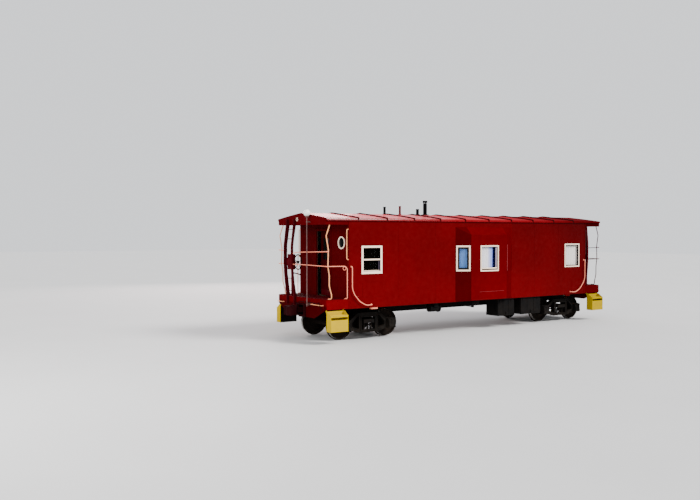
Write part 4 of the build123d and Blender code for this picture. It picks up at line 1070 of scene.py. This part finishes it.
# ------------------------------------------------------------------ corner steps: grip bars on the treads, bolts on the hangers
grips, backs = bmesh.new(), bmesh.new()
for e in (-1, 1):
    for s in SIDES:
        for z, y0, y1 in ((0.815, 1.40, 1.62), (0.568, 1.40, 1.62), (0.353, 1.40, 1.62)):
            n = 6
            for i in range(n):
                y = y0 + (i + 0.5) * (y1 - y0) / n
                block(grips, e * 5.42, e * 5.96, s * (y - 0.006), s * (y + 0.006), H(z), H(z + 0.006), 0.002, 1)
        block(grips, e * 5.390, e * 5.990, s * 1.626, s * 1.636, H(0.806), H(0.820), 0.003, 1)
        block(grips, e * 5.390, e * 5.990, s * 1.626, s * 1.636, H(0.345), H(0.360), 0.003, 1)
        for x in (5.395, 5.985):
            nx = -e if x < 5.5 else e
            for y, z in ((1.318, 1.15), (1.365, 1.15), (1.318, 1.03), (1.365, 1.03)):
                bolt(backs, (e * x, s * y, H(z)), (nx, 0, 0), 0.011, 0.009)
            # black strap over each hanger, behind the skirt
            block(backs, e * x, e * (x + (0.003 if x > 5.5 else -0.003)), s * 1.292, s * 1.392, H(0.985), H(1.208), 0.001, 1)
        # black sheet behind the steps
        block(backs, e * 5.397, e * 5.983, s * 1.3735, s * 1.3768, H(0.345), H(0.925), 0.001, 1)
done(grips, "step_treads", yellow)
done(backs, "step_backs", black)

# ------------------------------------------------------------------ under the floor
gear = bmesh.new()
# train pipe, with its couplings and clamps
tube(gear, bent([(-5.95, 0.26, H(0.72)), (-5.2, 0.34, H(1.02)), (5.2, 0.34, H(1.02)), (5.95, 0.26, H(0.72))], 0.2), 0.021, 12)
for x in (-4.9, -3.1, -0.2, 2.0, 3.6, 4.9):
    rod(gear, (x, 0.34, H(1.02)), (x + 0.05, 0.34, H(1.02)), 0.030, 12)
# reservoir bands, ends, drain and pipe
for x in (-1.85, -1.05):
    tube(gear, [(x, 0.960 + 0.209 * math.cos(a), H(0.730) + 0.209 * math.sin(a)) for a in [2 * math.pi * i / 40 for i in range(40)]], 0.012, 8, True)
for x, d in ((-2.05, -1), (-0.85, 1)):
    rod(gear, (x, 0.96, H(0.73)), (x + d * 0.045, 0.96, H(0.73)), 0.195, 40, 0.09)
    rod(gear, (x + d * 0.04, 0.96, H(0.73)), (x + d * 0.075, 0.96, H(0.73)), 0.028, 16)
rod(gear, (-1.45, 0.96, H(0.53)), (-1.45, 0.96, H(0.49)), 0.02, 10)
tube(gear, bent([(-2.12, 0.96, H(0.73)), (-2.22, 0.96, H(0.73)), (-2.22, 0.34, H(0.90)), (-2.22, 0.34, H(1.02))], 0.08), 0.014, 10)
# brake cylinder flanges, push rod, levers and pull rods
for k in range(8):
    a = 2 * math.pi * k / 8
    bolt(gear, (-1.600, -1.150 + 0.138 * math.cos(a), H(0.80) + 0.138 * math.sin(a)), (1, 0, 0), 0.012, 0.012)
rod(gear, (-2.000, -1.15, H(0.80)), (-2.022, -1.15, H(0.80)), 0.118, 28, 0.08)
block(gear, -1.475, -1.435, -1.20, -0.42, H(0.785), H(0.815), 0.006)
for y in (-0.62, -0.46):
    tube(gear, [(-1.455, y, H(0.80)), (-2.55, y + 0.06, H(0.78))], 0.013, 8)
block(gear, -0.30, 0.02, -1.34, -1.02, H(0.80), H(0.97), 0.02)
rod(gear, (-0.14, -1.18, H(0.80)), (-0.14, -1.18, H(0.72)), 0.05, 16)
tube(gear, bent([(-0.14, -1.18, H(0.74)), (-0.14, -0.60, H(0.74)), (-0.14, -0.34, H(0.98)), (-0.14, 0.30, H(1.02))], 0.08), 0.012, 8)
# centre sill flanges and cross ties
for s in (-1, 1):
    block(gear, -5.98, -4.50, s * 0.200, s * 0.245, H(0.650), H(0.664), 0.002, 1)
    block(gear, -4.10, 4.10, s * 0.200, s * 0.245, H(0.650), H(0.664), 0.002, 1)
    block(gear, 4.50, 5.98, s * 0.200, s * 0.245, H(0.650), H(0.664), 0.002, 1)
for x in (-3.6, -3.0, -0.3, 0.4, 3.1, 3.6):
    for s in (-1, 1):
        block(gear, x - 0.025, x + 0.025, s * 0.21, s * 1.255, H(1.10), H(1.188), 0.003, 1)
done(gear, "underfloor_gear", black)

# box doors, hinges, hasps and ribs
bm = bmesh.new()
for x0, x1 in ((1.950, 2.900), (0.850, 1.600)):
    w = x1 - x0
    y = -1.368
    for k in range(1, 3):
        x = x0 + w * k / 3
        block(bm, x - 0.018, x + 0.018, y - 0.008, y, H(0.44), H(0.90), 0.003, 1)
    for x in (x0 + 0.12, x1 - 0.12):
        rod(bm, (x - 0.05, y - 0.006, H(0.905)), (x + 0.05, y - 0.006, H(0.905)), 0.012, 12)
        block(bm, x - 0.045, x + 0.045, y - 0.006, y, H(0.83), H(0.90), 0.002, 1)
    xm = (x0 + x1) / 2
    block(bm, xm - 0.025, xm + 0.025, y - 0.014, y, H(0.43), H(0.52), 0.004)
    rod(bm, (xm, y - 0.02, H(0.475)), (xm, y - 0.036, H(0.475)), 0.012, 10)
    for x in (x0 + 0.03, x1 - 0.03):
        for z in (0.48, 0.67, 0.86):
            bolt(bm, (x, y, H(z)), (0, -1, 0), 0.010, 0.008)
done(bm, "box_doors", black)

# ------------------------------------------------------------------ trucks
AX = 0.419
HALF = 0.840
SIDE_LINE = [(-0.990, 0.359), (-0.990, 0.579), (-0.650, 0.589), (-0.400, 0.790), (0.400, 0.790), (0.650, 0.589), (0.990, 0.579),
             (0.990, 0.359), (0.670, 0.289), (0.340, 0.190), (-0.340, 0.190), (-0.670, 0.289)]
WINDOW = [(-0.255, 0.270), (0.255, 0.270), (0.255, 0.650), (-0.255, 0.650)]
for e, letter in END:
    cx = e * 4.300
    cast, iron_bits, coils, shoes = bmesh.new(), bmesh.new(), bmesh.new(), bmesh.new()
    for s in SIDES:
        y = s * 1.075
        # flange round the casting, narrow enough to clear the journals, and round its window
        line = [(cx + x, H(z)) for x, z in SIDE_LINE]
        ring_plate(cast, line, inset_line(line, 0.016), y, y + s * 0.020)
        hole = [(cx + x, H(z)) for x, z in WINDOW]
        ring_plate(cast, inset_line(hole, -0.026), hole, y, y + s * 0.016)
        for d in (-1, 1):
            tri = [(cx + d * 0.345, H(0.300)), (cx + d * 0.345, H(0.690)), (cx + d * 0.400, H(0.690)), (cx + d * 0.600, H(0.500)),
                   (cx + d * 0.600, H(0.380))]
            ring_plate(cast, inset_line(tri, -0.020), tri, y, y + s * 0.014)
            # column guide, journal box ribs and lid with its hinge and latch
            bx = cx + d * HALF
            yl = s * 1.150
            block(iron_bits, bx - 0.118, bx + 0.118, yl, yl + s * 0.018, H(0.315), H(0.330), 0.004)
            rod(iron_bits, (bx - 0.105, yl + s * 0.012, H(0.556)), (bx + 0.105, yl + s * 0.012, H(0.556)), 0.016, 12)
            block(iron_bits, bx - 0.030, bx + 0.030, yl + s * 0.004, yl + s * 0.030, H(0.505), H(0.560), 0.006)
            # raised boss in the lid's middle
            rod(iron_bits, (bx, yl + s * 0.020, H(0.425)), (bx, yl + s * 0.030, H(0.425)), 0.050, 20, 0.042)
            for dx in (-0.128, 0.128):
                for z in (0.30, 0.54):
                    bolt(iron_bits, (bx + dx, s * 1.150, H(z)), (0, s, 0), 0.013, 0.012)
            block(iron_bits, bx - 0.142, bx - 0.128, s * 0.93, s * 1.15, H(0.274), H(0.569), 0.003, 1)
            block(iron_bits, bx + 0.128, bx + 0.142, s * 0.93, s * 1.15, H(0.274), H(0.569), 0.003, 1)
            # springs
        for dx in (-0.125, 0.0, 0.125):
            sx, sy = cx + dx, s * 1.0025
            turns, per = 5.0, 18
            z0, z1 = H(0.286), H(0.451)
            pts = []
            for i in range(int(turns * per) + 1):
                t = i / (turns * per)
                a = 2 * math.pi * turns * t
                pts.append((sx + 0.038 * math.cos(a), sy + 0.038 * math.sin(a), z0 + (z1 - z0) * t))
            tube(coils, pts, 0.0125, 8)
            rod(coils, (sx, sy, H(0.270)), (sx, sy, H(0.276)), 0.053, 20)
            rod(coils, (sx, sy, H(0.461)), (sx, sy, H(0.467)), 0.053, 20)
            rod(coils, (sx, sy, H(0.276)), (sx, sy, H(0.300)), 0.020, 12)
    # bolster ribs, side bearings and their shims
    for s in SIDES:
        block(iron_bits, cx - 0.10, cx + 0.10, s * 0.60, s * 0.72, H(0.590), H(0.640), 0.008)
        for dx in (-0.07, 0.07):
            bolt(iron_bits, (cx + dx, s * 0.66, H(0.640)), (0, 0, 1), 0.012, 0.010)
        block(iron_bits, cx - 0.196, cx - 0.190, s * 0.25, s * 0.90, H(0.470), H(0.570), 0.002, 1)
        block(iron_bits, cx + 0.190, cx + 0.196, s * 0.25, s * 0.90, H(0.470), H(0.570), 0.002, 1)
    # brake beams with heads and shoes, inside the wheels
    for d in (-1, 1):
        bx = cx + d * (HALF - 0.419 - 0.075)
        tube(shoes, [(bx, -0.72, H(0.35)), (bx, 0.72, H(0.35))], 0.022, 10)
        tube(shoes, [(bx, -0.70, H(0.35)), (bx - d * 0.10, 0.0, H(0.33)), (bx, 0.70, H(0.35))], 0.014, 8)
        block(shoes, min(bx - d * 0.11, bx + d * 0.012), max(bx - d * 0.11, bx + d * 0.012), -0.022, 0.022, H(0.315), H(0.365), 0.004)
        for s in SIDES:
            # shoe: a curved block that follows the tread with a small gap
            y0, y1 = s * 0.715, s * 0.800
            wx = cx + d * HALF
            inner, outer = [], []
            for i in range(9):
                a = math.radians(-24 + 48 * i / 8) + math.radians(-8)
                for r, store in ((0.438, inner), (0.476, outer)):
                    store.append((wx - d * r * math.cos(a), H(AX) + r * math.sin(a)))
            loop = inner + outer[::-1]
            va = [shoes.verts.new((x, y0, z)) for x, z in loop]
            vb = [shoes.verts.new((x, y1, z)) for x, z in loop]
            n = len(loop)
            for i in range(8):
                shoes.faces.new((va[i], va[i + 1], va[n - 2 - i], va[n - 1 - i]))
                shoes.faces.new((vb[i + 1], vb[i], vb[n - 1 - i], vb[n - 2 - i]))
            for i in range(n):
                j = (i + 1) % n
                shoes.faces.new((va[j], va[i], vb[i], vb[j]))
            block(shoes, wx - d * 0.476, wx - d * 0.520, s * 0.735, s * 0.785, H(0.30), H(0.42), 0.006)
            # hanger up to the side frame
            tube(shoes, bent([(wx - d * 0.500, s * 0.76, H(0.38)), (wx - d * 0.500, s * 0.78, H(0.66)), (wx - d * 0.50, s * 0.93, H(0.69))], 0.05), 0.012, 8)
    done(cast, f"truck_{letter}_flanges", truck_iron, body=f"truck_{letter}")
    done(iron_bits, f"truck_{letter}_fittings", truck_iron, body=f"truck_{letter}")
    o = done(coils, f"truck_{letter}_coils", truck_iron, body=f"truck_{letter}")
    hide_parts(f"truck_{letter}_springs")
    done(shoes, f"truck_{letter}_brake_gear", truck_iron, body=f"truck_{letter}")

# bright treads, and rims and a ring on the wheel plates that show each wheelset turning
for number, x in ((1, -5.14), (2, -3.46), (3, 3.46), (4, 5.14)):
    bm = bmesh.new()
    seg = 72
    for s in SIDES:
        prof = [(0.4192, 0.712), (0.4195, 0.722), (0.4165, 0.800), (0.4155, 0.806)]
        rings = []
        for r, y in prof:
            rings.append([bm.verts.new((x + r * math.cos(2 * math.pi * k / seg), s * y, H(AX) + r * math.sin(2 * math.pi * k / seg))) for k in range(seg)])
        # closed under the tread, so that the band is a solid ring
        under = []
        for r, y in ((0.405, 0.806), (0.405, 0.712)):
            under.append([bm.verts.new((x + r * math.cos(2 * math.pi * k / seg), s * y, H(AX) + r * math.sin(2 * math.pi * k / seg))) for k in range(seg)])
        loop = rings + under
        for a, b in zip(loop, loop[1:] + loop[:1]):
            for k in range(seg):
                bm.faces.new((a[k], a[(k + 1) % seg], b[(k + 1) % seg], b[k]))
    done(bm, f"treads_{number}", tread_steel, body=f"wheelset_{number}", angle=20)
    bm = bmesh.new()
    for s in SIDES:
        # four lifting holes' rims in each wheel plate, and chalk-free hub grooves
        for k in range(4):
            a = math.radians(45 + 90 * k)
            px, pz = x + 0.245 * math.cos(a), H(AX) + 0.245 * math.sin(a)
            rod(bm, (px, s * 0.742, pz), (px, s * 0.770, pz), 0.026, 16, 0.020)
        for r in (0.128,):
            tube(bm, [(x + r * math.cos(2 * math.pi * i / 32), s * 0.829, H(AX) + r * math.sin(2 * math.pi * i / 32)) for i in range(32)], 0.005, 6, True)
    done(bm, f"wheel_bosses_{number}", wheel_iron, body=f"wheelset_{number}")
